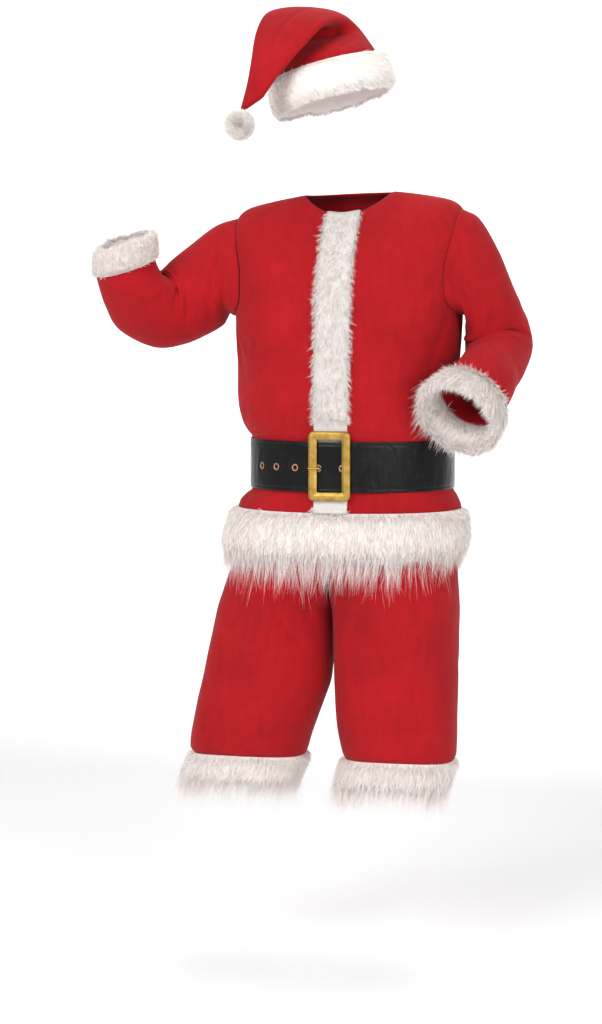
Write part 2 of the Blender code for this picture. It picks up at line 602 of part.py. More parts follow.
def make_belt_strap(vinyl):
    turn = np.linspace(BELT_START_ANGLE, 360.0 + BELT_END_ANGLE, BELT_STEPS)
    inner, out = belt_line(turn)
    to_end = (turn[-1] - turn) / BELT_TIP_ANGLE
    tip = np.sqrt(np.clip(1 - np.clip(1 - to_end, 0, 1) ** 2, BELT_TIP_SQUARENESS ** 2, 1))
    half = (BELT_TOP_Z - BELT_BOTTOM_Z) / 2 - BELT_CLEAR
    middle_z = (BELT_TOP_Z + BELT_BOTTOM_Z) / 2
    heights = middle_z + np.array((1.0, -1.0))[None, :] * (half * tip)[:, None]
    inner = np.repeat(inner[:, None], 2, axis=1)
    inner[..., 2] = heights
    outer = inner + out[:, None] * BELT_THICKNESS
    make_wall("belt_strap", outer, inner, open_index(BELT_STEPS, 2), vinyl)


def turn_of_arc(arc):
    """Turn around the belt, in degrees past the front, at an arc length along the outer layer."""
    turns = 360.0 + np.linspace(*ARC_TURNS, ARC_STEPS)
    points, _ = belt_line(turns)
    travelled = np.concatenate(([0], np.cumsum(np.linalg.norm(np.diff(points, axis=0), axis=1))))
    travelled -= np.interp(360.0, turns, travelled)
    return float(np.interp(arc, travelled, turns))


def strap_face(arc):
    """A point on the strap's outer face and the way it looks out."""
    turn = turn_of_arc(arc)
    point, out = belt_line(np.array([turn - 1.0, turn, turn + 1.0]))
    face = point + out * BELT_THICKNESS
    ahead = unit(face[2] - face[0])
    return face[1], np.array((ahead[1], -ahead[0], 0.0))


def make_eyelets(metal):
    around = np.linspace(0, 2 * math.pi, EYELET_STEPS, endpoint=False)
    section = np.linspace(0, 2 * math.pi, EYELET_SECTION_STEPS, endpoint=False) + math.pi / 2
    for number, arc in enumerate(EYELET_ARCS, start=1):
        point, out = strap_face(arc)
        centre = point + out * (SEAM + EYELET_RISE)
        centre[2] = EYELET_Z
        side = np.array((-out[1], out[0], 0.0))
        spread = EYELET_RADIUS + EYELET_WIRE * np.cos(section)[None, :]
        ring = (np.cos(around)[:, None, None] * spread[..., None] * side
                + np.sin(around)[:, None, None] * spread[..., None] * np.array((0, 0, 1.0)))
        rise = EYELET_RISE * np.sin(section)[None, :, None] * out
        faces = grid_faces(closed_index(len(around), len(section)))
        make_solid(f"belt_eyelet_{number}", centre + ring + rise, faces, metal)


def rounded_frame(half_width, half_height, corner):
    """Outline of a rectangle with round corners, in plan of the buckle."""
    points = []
    for k, (x, z) in enumerate(((1, 1), (-1, 1), (-1, -1), (1, -1))):
        for step in range(BUCKLE_CORNER_STEPS):
            angle = math.radians(90 * (k + step / (BUCKLE_CORNER_STEPS - 1)))
            points.append((x * (half_width - corner) + corner * math.cos(angle),
                           z * (half_height - corner) + corner * math.sin(angle)))
    return np.array(points)


def buckle_back():
    """The plane of the buckle's back: a side bar rests on the first eyelet."""
    first, _ = strap_face(EYELET_ARCS[0] - EYELET_RADIUS)
    return first[1] - 2 * SEAM - 2 * EYELET_RISE


def make_buckle(brass):
    back = buckle_back()
    depth = -BUCKLE_DEPTH
    half_width, half_height = BUCKLE_WIDTH / 2, BUCKLE_HEIGHT / 2
    rings = []
    for inset, rise in BUCKLE_PROFILE:
        corner = max(BUCKLE_CORNER - inset, BUCKLE_INNER_CORNER)
        edge = rounded_frame(half_width - inset, half_height - inset, corner)
        rings.append([(x, back + depth * rise, BUCKLE_Z + z) for x, z in edge])
    rings = np.array(rings)
    make_solid("belt_buckle", rings, grid_faces(closed_index(*rings.shape[:2])), brass)


def make_prong(brass):
    """The prong, out of the eyelet beside the bar and over it."""
    back = buckle_back()
    over = back - BUCKLE_DEPTH - SEAM - PRONG_RADIUS
    eyelet, _ = strap_face(EYELET_ARCS[1])
    near = eyelet[1] - PRONG_SINK * PRONG_RADIUS
    inner_bar = -(BUCKLE_WIDTH / 2 - BUCKLE_BAR)
    x_path = (*(inner_bar + reach for reach in PRONG_REACH), -BUCKLE_WIDTH / 2 - PRONG_OVERHANG)
    y_path = (min(near, over - PRONG_DIP), over - PRONG_DIP, over, over)
    centres = np.array([(x, y, EYELET_Z) for x, y in zip(x_path, y_path)])
    radii = PRONG_RADIUS * np.array(PRONG_TAPER)
    count = len(x_path)
    angle = np.linspace(0, 2 * math.pi, PRONG_SIDES, endpoint=False)
    ring = np.stack((np.zeros(PRONG_SIDES), np.cos(angle), np.sin(angle)), axis=-1)
    points = centres[:, None] + radii[:, None, None] * ring[None]
    last = np.arange((count - 1) * PRONG_SIDES, count * PRONG_SIDES)[::-1]
    faces = grid_faces(ring_index(count, PRONG_SIDES)) + [tuple(range(PRONG_SIDES)), tuple(last.tolist())]
    make_solid("belt_prong", points, faces, brass)


def make_waistband(cloth):
    """The trousers' waistband, inside the jacket behind the belt."""
    angle = np.linspace(0, 2 * math.pi, 4 * FRONT_COLUMNS, endpoint=False)
    rows = row_at_belt(np.array((WAISTBAND_TOP_Z, WAISTBAND_BOTTOM_Z)))
    angle, row = np.meshgrid(angle, rows)
    point, normal = torso(angle, row), torso_normal(angle, row)
    outer = point - normal * (CLOTH + SEAM)
    inner = outer - normal * CLOTH * WAISTBAND_LAYERS
    make_wall("trouser_waistband", outer, inner, ring_index(2, 4 * FRONT_COLUMNS), cloth)


def leg_surface(side, table, folds):
    """Grid of a trouser leg: rows down, columns from the inner edge round the outseam and back."""
    column = dict(zip(LEG_COLUMNS, table.T))
    z, front, back = column["z"], column["front"], column["back"]
    word = "left" if side > 0 else "right"
    out, close = column[word + "_out"], column[word + "_in"]
    centre = (out + close) / 2
    half = np.abs(out - close) / 2
    share = (z[0] - z) / (z[0] - z[CROTCH_ROW])
    seam = CENTRE_SEAM_SHIFT * np.clip(share, 0, 1) + side * SEAM / 2
    reach = np.clip((centre - seam) / half * side, 0, 1)
    cut = np.arccos(reach ** (LEG_SQUARE / 2))[:, None]
    s = np.linspace(0, 1, LEG_STEPS + 1)[None, :]
    start = math.pi if side > 0 else 0.0
    angle = start + cut + s * (2 * math.pi - 2 * cut)
    middle_y, half_y = ((front + back) / 2)[:, None], ((back - front) / 2)[:, None]
    puff = np.zeros_like(angle)
    for fold in (dict(zip(LEG_FOLD_COLUMNS, fold_row)) for fold_row in folds):
        apart = turn_between(np.degrees(angle), fold["angle"]) / fold["angle_spread"]
        down = (z[:, None] - fold["z"]) / fold["z_spread"]
        puff += fold["depth"] * np.exp(-apart ** 2 - down ** 2)
    x = centre[:, None] + power(np.cos(angle), 2 / LEG_SQUARE) * (half[:, None] + puff)
    y = middle_y + power(np.sin(angle), 2 / LEG_SQUARE) * (half_y + puff)
    rise = HEM_ARCH * smooth_step((np.arange(len(z)) - ARCH_START_ROW) / (len(z) - 1 - ARCH_START_ROW))
    points = np.stack((x, y, z[:, None] + rise[:, None] * np.sin(angle) ** 2), axis=-1)
    waist_angle = (-math.pi / 2 if side > 0 else math.pi / 2) + s[0] * math.pi
    waist_row = np.full(waist_angle.shape, row_at_belt(WAISTBAND_BOTTOM_Z))
    waist = torso(waist_angle, waist_row)
    waist = waist - torso_normal(waist_angle, waist_row) * (CLOTH + SEAM + FACET_ROOM)
    waist[0, 0] = waist[-1, 0] = side * SEAM / 2
    points[:2, :, :2] = waist[None, :, :2]
    return points


def leg_normals(points):
    """Outward normals of a leg's grid, taken round the tube below the crotch."""
    down = np.gradient(points, axis=0)
    around = np.gradient(points, axis=1)
    joined = points[:, 1] - points[:, -2]
    closed = np.arange(len(points)) >= CROTCH_ROW
    around[closed, 0] = around[closed, -1] = joined[closed]
    return unit(np.cross(down, around))


def make_legs(cloth, fur):
    for side, word, folds, seed in ((-1, "right", LEG_RIGHT_FOLDS, 7), (1, "left", LEG_LEFT_FOLDS, 8)):
        outer = leg_surface(side, LEGS, folds)
        inner = outer - leg_normals(outer) * CLOTH
        index = open_index(*outer.shape[:2])
        index[CROTCH_ROW:, -1] = index[CROTCH_ROW:, 0]
        make_wall("trouser_leg_" + word, outer, inner, index, cloth)
        loop = resampled(outer[-1, :-1], 2 * LEG_LOCKS)
        locks = lock_lengths(len(loop), LEG_LOCK_LENGTH, seed)
        make_fur_ring("fur_leg_" + word, loop, DOWN, LEG_PILE[word], LEG_FUR, locks, fur)


def hat_rings():
    angle = np.linspace(0, 2 * math.pi, HAT_STEPS, endpoint=False)
    rings = []
    for section in (dict(zip(HAT_COLUMNS, hat_row)) for hat_row in HAT):
        roll, pitch = math.radians(section["roll"]), math.radians(section["pitch"])
        wide = np.array((math.cos(roll), 0.0, math.sin(roll)))
        upright = np.array((-math.sin(roll), 0.0, math.cos(roll)))
        deep = math.cos(pitch) * np.array((0.0, 1.0, 0.0)) + math.sin(pitch) * upright
        middle = np.array((section["x"], section["y"], section["z"]))
        rings.append(middle + section["half_width"] * np.cos(angle)[:, None] * wide
                     + section["half_depth"] * np.sin(angle)[:, None] * deep)
    return np.array(rings)


def make_hat(cloth, fur):
    rings = hat_rings()
    inner = rings - tube_normals(rings) * CLOTH
    tip = np.broadcast_to(np.array(HAT_TIP), (1,) + rings.shape[1:])
    inner_tip = tip + unit(rings[-1].mean(axis=0) - tip[0, 0]) * CLOTH
    index = ring_index(len(rings) + 1, HAT_STEPS)
    index[-1, :] = index[-1, 0]
    make_wall("hat_crown", np.concatenate((rings, tip)), np.concatenate((inner, inner_tip)), index, cloth)
    roll = math.radians(HAT[0, HAT_COLUMNS.index("roll")])
    down = np.array((math.sin(roll), 0.0, -math.cos(roll)))
    locks = lock_lengths(HAT_STEPS, HAT_LOCK_LENGTH, 11)
    make_fur_ring("hat_band", rings[0], down, down, HAT_FUR, locks, fur)


def make_pompom(fur):
    """A ball of short tufts: the points of a sphere's grid stand out in turn."""
    rings, columns = 9, 14
    rng = np.random.default_rng(13)
    lat = np.linspace(0, math.pi, rings + 2)[1:-1]
    lon = np.linspace(0, 2 * math.pi, columns, endpoint=False)
    radius = np.where((np.arange(rings)[:, None] + np.arange(columns)[None, :]) % 2 == 0, 1.0, 0.86)
    radius = POMPOM_RADIUS * radius * rng.uniform(0.95, 1.0, radius.shape)
    points = np.stack((np.sin(lat)[:, None] * np.cos(lon), np.sin(lat)[:, None] * np.sin(lon),
                       np.broadcast_to(np.cos(lat)[:, None], radius.shape)), axis=-1)
    points = points * radius[..., None]
    top = np.broadcast_to((0, 0, 0.92 * POMPOM_RADIUS), (1, columns, 3))
    points = np.concatenate((top, points, -top)) + np.array(POMPOM_CENTRE)
    index = ring_index(rings + 2, columns)
    index[0, :], index[-1, :] = index[0, 0], index[-1, 0]
    make_solid("hat_pompom", points, grid_faces(index), fur)


def main():
    for old in list(bpy.data.objects):
        bpy.data.objects.remove(old, do_unlink=True)
    plush = make_material("red_plush", (0.55, 0.018, 0.025), 0.9)
    fur = make_material("white_fur", (0.86, 0.83, 0.80), 0.95)
    vinyl = make_material("black_vinyl", (0.012, 0.012, 0.013), 0.25)
    brass = make_material("antique_brass", (0.47, 0.31, 0.09), 0.42, 1.0)
    eyelet = make_material("eyelet_brass", (0.62, 0.45, 0.30), 0.35, 1.0)
    make_jacket_body(plush)
    make_sleeves(plush, fur)
    make_hem_fur(fur)
    make_front_band(fur)
    make_belt_strap(vinyl)
    make_eyelets(eyelet)
    make_buckle(brass)
    make_prong(brass)
    make_waistband(plush)
    make_legs(plush, fur)
    make_hat(plush, fur)
    make_pompom(fur)


main()
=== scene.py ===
# A santa suit as it is worn: jacket, belt, knee-length trousers and hat, in red plush with fur.
# Metres, +Z up, the front faces -Y. "Right" and "left" are the wearer's own: right is -X.
import math
import bpy
import numpy as np
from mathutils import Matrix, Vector


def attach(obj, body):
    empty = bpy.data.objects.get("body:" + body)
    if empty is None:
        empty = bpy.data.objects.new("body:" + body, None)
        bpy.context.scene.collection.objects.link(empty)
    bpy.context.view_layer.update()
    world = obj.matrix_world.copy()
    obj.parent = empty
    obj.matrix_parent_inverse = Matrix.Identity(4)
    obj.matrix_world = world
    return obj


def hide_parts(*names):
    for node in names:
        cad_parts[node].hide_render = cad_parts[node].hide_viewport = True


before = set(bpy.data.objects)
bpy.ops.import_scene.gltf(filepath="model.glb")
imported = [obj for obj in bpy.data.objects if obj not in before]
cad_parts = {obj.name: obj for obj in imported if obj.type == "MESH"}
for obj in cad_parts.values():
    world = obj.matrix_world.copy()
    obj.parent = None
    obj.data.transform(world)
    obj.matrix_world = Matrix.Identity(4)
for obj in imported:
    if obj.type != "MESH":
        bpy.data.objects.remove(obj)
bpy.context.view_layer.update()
print("frame loaded:", len(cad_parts), "nodes")

view = {"turn": 14.0, "rise": 5.0, "distance": 4.6, "metresPerPixel": 0.00196,
        "pixelsHigh": 1024, "aside": -0.096, "height": -0.612}


def makeCamera():
    turn, rise = math.radians(view["turn"]), math.radians(view["rise"])
    right = Vector((math.cos(turn), math.sin(turn), 0))
    back = Vector((math.sin(turn) * math.cos(rise), -math.cos(turn) * math.cos(rise), math.sin(rise)))
    data = bpy.data.cameras.new("camera")
    data.sensor_width = 36.0
    data.lens = 36.0 * view["distance"] / view["metresPerPixel"] / view["pixelsHigh"]
    data.clip_end = 50.0
    camera = bpy.data.objects.new("camera", data)
    bpy.context.scene.collection.objects.link(camera)
    camera.location = right * view["aside"] + Vector((0, 0, view["height"])) + back * view["distance"]
    camera.rotation_euler = (-back).to_track_quat("-Z", "Y").to_euler()
    bpy.context.scene.camera = camera


makeCamera()


# small maths

def smoothRows(table, rows):
    # every column at fractional row numbers: a cubic between two rows whose slopes are the
    # harmonic means of the neighbouring differences, so that it never overshoots a row
    rows = np.atleast_1d(np.asarray(rows, float))
    slope = np.diff(table, axis=0)
    tangent = np.zeros_like(table)
    tangent[0], tangent[-1] = slope[0], slope[-1]
    same = slope[:-1] * slope[1:] > 0
    total = np.where(same, slope[:-1] + slope[1:], 1.0)
    tangent[1:-1] = np.where(same, 2 * slope[:-1] * slope[1:] / total, 0.0)
    low = np.clip(np.floor(rows).astype(int), 0, len(table) - 2)
    t = (rows - low)[:, None]
    return (table[low] * (1 + 2 * t) * (1 - t) ** 2 + table[low + 1] * t * t * (3 - 2 * t)
            + tangent[low] * t * (1 - t) ** 2 - tangent[low + 1] * t * t * (1 - t))


def roundRows(table, rows):
    # as above with plain central slopes: rounder between rows, for rings along a tube
    rows = np.atleast_1d(np.asarray(rows, float))
    tangent = np.gradient(table, axis=0)
    low = np.clip(np.floor(rows).astype(int), 0, len(table) - 2)
    t = (rows - low).reshape((-1,) + (1,) * (table.ndim - 1))
    return (table[low] * (1 + 2 * t) * (1 - t) ** 2 + table[low + 1] * t * t * (3 - 2 * t)
            + tangent[low] * t * (1 - t) ** 2 - tangent[low + 1] * t * t * (1 - t))


def smoothStep(x):
    x = np.clip(x, 0.0, 1.0)
    return x * x * (3 - 2 * x)


def signedPower(value, exponent):
    return np.sign(value) * np.abs(value) ** exponent


def unit(vectors):
    return vectors / np.maximum(np.linalg.norm(vectors, axis=-1, keepdims=True), 1e-12)


def angleApart(a, b):
    return (a - b + 180.0) % 360.0 - 180.0


def creases(across, along, table, turn=None):
    # Height of all creases at points given by two lengths on the cloth. A crease runs from
    # (a0, b0) to (a1, b1): its profile is a soft trough -(1 - 1.1 d^2) exp(-d^2) with raised
    # lips, d being the distance from a slightly bowed line over the crease's width. "turn" is
    # the length once round a tube.
    height = np.zeros(np.broadcast(across, along).shape)
    for a0, b0, a1, b1, depth, width, bow in table:
        da, db = a1 - a0, b1 - b0
        length = math.hypot(da, db)
        a = across - a0
        if turn is not None:
            middle = da / 2
            a = (a - middle + turn / 2) % turn - turn / 2 + middle
        b = along - b0
        t = (a * da + b * db) / length ** 2
        off = (a * db - b * da) / length - bow * np.sin(math.pi * np.clip(t, 0, 1))
        d = off / (width * (0.75 + 0.5 * np.clip(t, 0, 1)))
        fade = smoothStep((t + 0.12) / 0.4) * smoothStep((1.12 - t) / 0.5)
        height -= depth * fade * (1 - 1.1 * d * d) * np.exp(-d * d)
    return height


def ripple(a, b, size, seed):
    # slow unevenness of worn cloth: a sum of a few sine waves in seeded directions
    rng = np.random.default_rng(seed)
    total = np.zeros(np.broadcast(a, b).shape)
    for wave in (0.31, 0.21, 0.14, 0.095, 0.066):
        turn, phase, swirl = rng.uniform(0, 2 * math.pi, 3)
        along = a * math.cos(turn) + b * math.sin(turn)
        side = a * math.sin(turn) - b * math.cos(turn)
        total += wave / 0.2 * np.sin(2 * math.pi * along / wave + phase
                                     + 1.3 * np.sin(2 * math.pi * side / (wave * 1.9) + swirl))
    return size * total / 5


# meshes

def setMesh(name, points, corners, sizes, material, uv=None, smooth=True):
    # a mesh from flat arrays: corner numbers of all faces, and each face's number of corners
    mesh = bpy.data.meshes.new(name)
    points = np.ascontiguousarray(points, np.float32).reshape(-1, 3)
    corners = np.ascontiguousarray(corners, np.int32).ravel()
    sizes = np.ascontiguousarray(sizes, np.int32)
    mesh.vertices.add(len(points))
    mesh.vertices.foreach_set("co", points.ravel())
    mesh.loops.add(len(corners))
    mesh.loops.foreach_set("vertex_index", corners)
    mesh.polygons.add(len(sizes))
    mesh.polygons.foreach_set("loop_start", np.concatenate(([0], np.cumsum(sizes)[:-1])).astype(np.int32))
    mesh.update(calc_edges=True)
    mesh.polygons.foreach_set("use_smooth", np.full(len(sizes), smooth))
    if uv is not None:
        layer = mesh.uv_layers.new(name="cloth")
        layer.data.foreach_set("uv", np.asarray(uv, np.float32).reshape(-1, 2)[corners].ravel())
    mesh.validate()
    mesh.materials.append(material)
    obj = bpy.data.objects.new(name, mesh)
    bpy.context.scene.collection.objects.link(obj)
    return obj


def gridNumbers(rows, columns, roundColumns=False, roundRows_=False):
    index = np.arange(rows * columns).reshape(rows, columns)
    if roundColumns:
        index = np.concatenate((index, index[:, :1]), axis=1)
    if roundRows_:
        index = np.concatenate((index, index[:1]))
    return index


def gridQuads(index):
    return np.stack((index[:-1, :-1], index[1:, :-1], index[1:, 1:], index[:-1, 1:]), axis=-1).reshape(-1, 4)


def facingOut(points, quads):
    # signed volume over the quads as two triangles each: negative means inside out
    p = points[quads]
    one = np.einsum("ij,ij->i", p[:, 0], np.cross(p[:, 1], p[:, 2]))
    two = np.einsum("ij,ij->i", p[:, 0], np.cross(p[:, 2], p[:, 3]))
    return (one + two).sum() > 0


def wall(name, outer, inner, quads, material, uv=None):
    # a closed wall between two copies of a surface, with a rim along every open edge
    outer, inner = outer.reshape(-1, 3), inner.reshape(-1, 3)
    count = len(outer)
    starts, ends = quads.ravel(), np.roll(quads, -1, axis=1).ravel()
    real = starts != ends
    starts, ends = starts[real], ends[real]
    free = ~np.isin(starts * count + ends, ends * count + starts)
    a, b = starts[free], ends[free]
    rims = np.stack((b, a, a + count, b + count), axis=-1)
    allQuads = np.concatenate((quads, quads[:, ::-1] + count, rims))
    points = np.concatenate((outer, inner))
    if not facingOut(points, allQuads):
        allQuads = allQuads[:, ::-1]
    flat = allQuads != np.roll(allQuads, 1, axis=1)
    sizes = flat.sum(axis=1)
    keep = sizes > 2
    corners = allQuads[keep][flat[keep]]
    both = None if uv is None else np.concatenate((uv.reshape(-1, 2), uv.reshape(-1, 2)))
    return setMesh(name, points, corners, sizes[keep], material, both)


def solidGrid(name, points, index, material, uv=None):
    quads = gridQuads(index)
    flatPoints = points.reshape(-1, 3)
    if not facingOut(flatPoints, quads):
        quads = quads[:, ::-1]
    flat = quads != np.roll(quads, 1, axis=1)
    sizes = flat.sum(axis=1)
    keep = sizes > 2
    return setMesh(name, flatPoints, quads[keep][flat[keep]], sizes[keep], material, uv)


def place(obj, slot, *nodes):
    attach(obj, "root")
    if nodes:
        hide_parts(*nodes)
    return obj


# shader groups

def newGroup(name, inputs, outputs):
    group = bpy.data.node_groups.new(name, "ShaderNodeTree")
    for label, kind, value in inputs:
        socket = group.interface.new_socket(label, in_out="INPUT", socket_type="NodeSocket" + kind)
        if value is not None:
            socket.default_value = value
    for label, kind in outputs:
        group.interface.new_socket(label, in_out="OUTPUT", socket_type="NodeSocket" + kind)
    return group, group.nodes.new("NodeGroupInput"), group.nodes.new("NodeGroupOutput")


def addNode(tree, kind, settings=None, **inputs):
    node = tree.nodes.new(kind)
    for key, value in (settings or {}).items():
        setattr(node, key, value)
    for key, value in inputs.items():
        socket = node.inputs[int(key[1:])] if key[0] == "i" and key[1:].isdigit() else node.inputs[key]
        if isinstance(value, bpy.types.NodeSocket):
            tree.links.new(value, socket)
        else:
            socket.default_value = value
    return node


def maths(tree, operation, a, b=0.0, c=None, clamp=False):
    node = tree.nodes.new("ShaderNodeMath")
    node.operation = operation
    node.use_clamp = clamp
    for socket, value in zip(node.inputs, (a, b, c)):
        if isinstance(value, bpy.types.NodeSocket):
            tree.links.new(value, socket)
        elif value is not None:
            socket.default_value = value
    return node.outputs[0]


def mixColour(tree, factor, a, b, blend="MIX"):
    node = tree.nodes.new("ShaderNodeMix")
    node.data_type = "RGBA"
    node.blend_type = blend
    for number, value in ((0, factor), (6, a), (7, b)):
        if isinstance(value, bpy.types.NodeSocket):
            tree.links.new(value, node.inputs[number])
        elif number == 0:
            node.inputs[number].default_value = value
        else:
            node.inputs[number].default_value = (*value[:3], 1.0)
    return node.outputs[2]


def noise(tree, vector, scale, detail=3.0, roughness=0.55, stretch=None):
    if stretch is not None:
        mapping = tree.nodes.new("ShaderNodeMapping")
        mapping.inputs["Scale"].default_value = stretch
        tree.links.new(vector, mapping.inputs["Vector"])
        vector = mapping.outputs[0]
    node = tree.nodes.new("ShaderNodeTexNoise")
    node.inputs["Scale"].default_value = scale
    node.inputs["Detail"].default_value = detail
    node.inputs["Roughness"].default_value = roughness
    tree.links.new(vector, node.inputs["Vector"])
    return node.outputs[0]


def makeNapGroup():
    # pile that lies one way in patches: broad and narrow noise shade the colour, fine noise
    # gives the fibres' height
    group, into, out = newGroup("plushNap", (
        ("Vector", "Vector", None), ("Colour", "Color", (0.5, 0.02, 0.03, 1)),
        ("Shade", "Color", (0.3, 0.012, 0.02, 1)), ("Patch size", "Float", 9.0),
        ("Fibre size", "Float", 900.0)), (("Colour", "Color"), ("Height", "Float"), ("Roughness", "Float")))
    vector = into.outputs["Vector"]
    broad = addNode(group, "ShaderNodeTexNoise", Detail=4.0, Roughness=0.6)
    group.links.new(vector, broad.inputs["Vector"])
    group.links.new(into.outputs["Patch size"], broad.inputs["Scale"])
    streak = noise(group, vector, 30.0, 4.0, 0.6, (2.6, 2.6, 0.7))
    speck = noise(group, vector, 420.0, 2.0, 0.7)
    fibre = addNode(group, "ShaderNodeTexNoise", Detail=2.0, Roughness=0.75)
    group.links.new(vector, fibre.inputs["Vector"])
    group.links.new(into.outputs["Fibre size"], fibre.inputs["Scale"])
    patch = maths(group, "MULTIPLY_ADD", broad.outputs[0], 1.5, -0.5)
    lie = maths(group, "MULTIPLY_ADD", streak, 0.9, patch)
    mask = maths(group, "MULTIPLY_ADD", lie, 1.1, -0.16, clamp=True)
    mask = maths(group, "MULTIPLY_ADD", maths(group, "SUBTRACT", speck, 0.5), 0.9, mask, clamp=True)
    colour = mixColour(group, mask, into.outputs["Shade"], into.outputs["Colour"])
    group.links.new(colour, out.inputs["Colour"])
    height = maths(group, "MULTIPLY_ADD", streak, 0.6, fibre.outputs[0])
    group.links.new(height, out.inputs["Height"])
    group.links.new(maths(group, "MULTIPLY_ADD", mask, -0.12, 0.95), out.inputs["Roughness"])
    return group


def makeStrandGroup():
    # long pile: UV x is a number for each strand, UV y runs from its root to its tip; the colour darkens from tip to
    # root, painted shade deep in the pile
    group, into, out = newGroup("pileTint", (
        ("UV", "Vector", None), ("Root", "Color", (0.6, 0.56, 0.53, 1)), ("Tip", "Color", (0.9, 0.88, 0.86, 1)),
        ("Variety", "Float", 0.12)), (("Colour", "Color"),))
    split = addNode(group, "ShaderNodeSeparateXYZ")
    group.links.new(into.outputs["UV"], split.inputs[0])
    along = maths(group, "POWER", split.outputs[1], 0.7)
    colour = mixColour(group, along, into.outputs["Root"], into.outputs["Tip"])
    vary = maths(group, "MULTIPLY", maths(group, "FRACT", maths(group, "MULTIPLY", split.outputs[0], 7.31)),
                 into.outputs["Variety"])
    darker = mixColour(group, vary, colour, (0.25, 0.22, 0.20))
    group.links.new(darker, out.inputs["Colour"])
    return group


def makeWearGroup():
    # darker dirt and brighter rubbed metal in patches where noise says
    group, into, out = newGroup("agedMetal", (
        ("Vector", "Vector", None), ("Bright", "Color", (0.6, 0.42, 0.14, 1)), ("Dull", "Color", (0.2, 0.12, 0.03, 1)),
        ("Size", "Float", 60.0)), (("Colour", "Color"), ("Roughness", "Float"), ("Height", "Float")))
    broad = addNode(group, "ShaderNodeTexNoise", Detail=5.0, Roughness=0.65)
    group.links.new(into.outputs["Vector"], broad.inputs["Vector"])
    group.links.new(into.outputs["Size"], broad.inputs["Scale"])
    scratch = noise(group, into.outputs["Vector"], 300.0, 3.0, 0.6, (1.0, 1.0, 0.08))
    mask = maths(group, "MULTIPLY_ADD", broad.outputs[0], 2.2, -0.65, clamp=True)
    group.links.new(mixColour(group, mask, into.outputs["Dull"], into.outputs["Bright"]), out.inputs["Colour"])
    rough = maths(group, "MULTIPLY_ADD", mask, -0.2, 0.52)
    group.links.new(maths(group, "MULTIPLY_ADD", scratch, 0.12, rough), out.inputs["Roughness"])
    group.links.new(maths(group, "MULTIPLY_ADD", broad.outputs[0], 0.6, scratch), out.inputs["Height"])
    return group


napGroup, strandGroup, wearGroup = makeNapGroup(), makeStrandGroup(), makeWearGroup()


def newMaterial(name, colour, **settings):
    material = bpy.data.materials.new(name)
    material.use_nodes = True
    material.diffuse_color = (*colour, 1)
    shader = material.node_tree.nodes["Principled BSDF"]
    for key, value in settings.items():
        shader.inputs[key.replace("_", " ")].default_value = value
    return material, material.node_tree, shader


def bump(tree, shader, height, strength, distance):
    node = addNode(tree, "ShaderNodeBump", Strength=strength, Distance=distance)
    tree.links.new(height, node.inputs["Height"])
    tree.links.new(node.outputs[0], shader.inputs["Normal"])


plush = {"colour": (0.388, 0.0078, 0.0122), "shade": (0.270, 0.0062, 0.0092), "sheen": 0.09}
# fur: the root colour is darker than the tip, painted shade deep in the pile
fur = {"root": (0.80, 0.735, 0.70), "tip": (0.90, 0.845, 0.82)}
vinyl = {"colour": (0.0060, 0.0056, 0.0060), "scuff": (0.011, 0.0105, 0.011)}
brass = {"bright": (0.62, 0.41, 0.11), "dull": (0.30, 0.175, 0.035)}


def makePlush(name, patchSize):
    material, tree, shader = newMaterial(name, plush["colour"], Sheen_Weight=plush["sheen"], Sheen_Roughness=0.45,
                                         Specular_IOR_Level=0.12)
    shader.inputs["Sheen Tint"].default_value = (1.0, 0.55, 0.55, 1)
    coordinates = addNode(tree, "ShaderNodeTexCoord")
    nap = addNode(tree, "ShaderNodeGroup", {"node_tree": napGroup}, Colour=(*plush["colour"], 1),
                  Shade=(*plush["shade"], 1))
    nap.inputs["Patch size"].default_value = patchSize
    tree.links.new(coordinates.outputs["Object"], nap.inputs["Vector"])
    tree.links.new(nap.outputs["Colour"], shader.inputs["Base Color"])
    tree.links.new(nap.outputs["Roughness"], shader.inputs["Roughness"])
    bump(tree, shader, nap.outputs["Height"], 0.35, 0.0012)
    return material


def makePile(name, root, tip, variety):
    material, tree, shader = newMaterial(name, tip, Roughness=0.55, Specular_IOR_Level=0.25)
    uv = addNode(tree, "ShaderNodeUVMap", {"uv_map": "cloth"})
    tint = addNode(tree, "ShaderNodeGroup", {"node_tree": strandGroup}, Root=(*root, 1), Tip=(*tip, 1),
                   Variety=variety)
    tree.links.new(uv.outputs[0], tint.inputs["UV"])
    tree.links.new(tint.outputs[0], shader.inputs["Base Color"])
    return material


def makeUnderfur(name, root, tip):
    # the dense short pile below the long hair: streaks that run down the trim's own UV, mixing in the darker root
    # colour as painted shade between tufts
    material, tree, shader = newMaterial(name, tip, Roughness=0.85, Specular_IOR_Level=0.1)
    uv = addNode(tree, "ShaderNodeUVMap", {"uv_map": "cloth"})
    streak = noise(tree, uv.outputs[0], 1.0, 5.0, 0.7, (900.0, 60.0, 1.0))
    tuft = noise(tree, uv.outputs[0], 1.0, 3.0, 0.6, (110.0, 45.0, 1.0))
    # the darker root colour in these streaks is painted shade between tufts
    mask = maths(tree, "MULTIPLY_ADD", streak, 0.8, maths(tree, "MULTIPLY_ADD", tuft, 0.9, -0.4), clamp=True)
    tree.links.new(mixColour(tree, mask, root, tip), shader.inputs["Base Color"])
    bump(tree, shader, maths(tree, "ADD", streak, tuft), 0.7, 0.002)
    return material


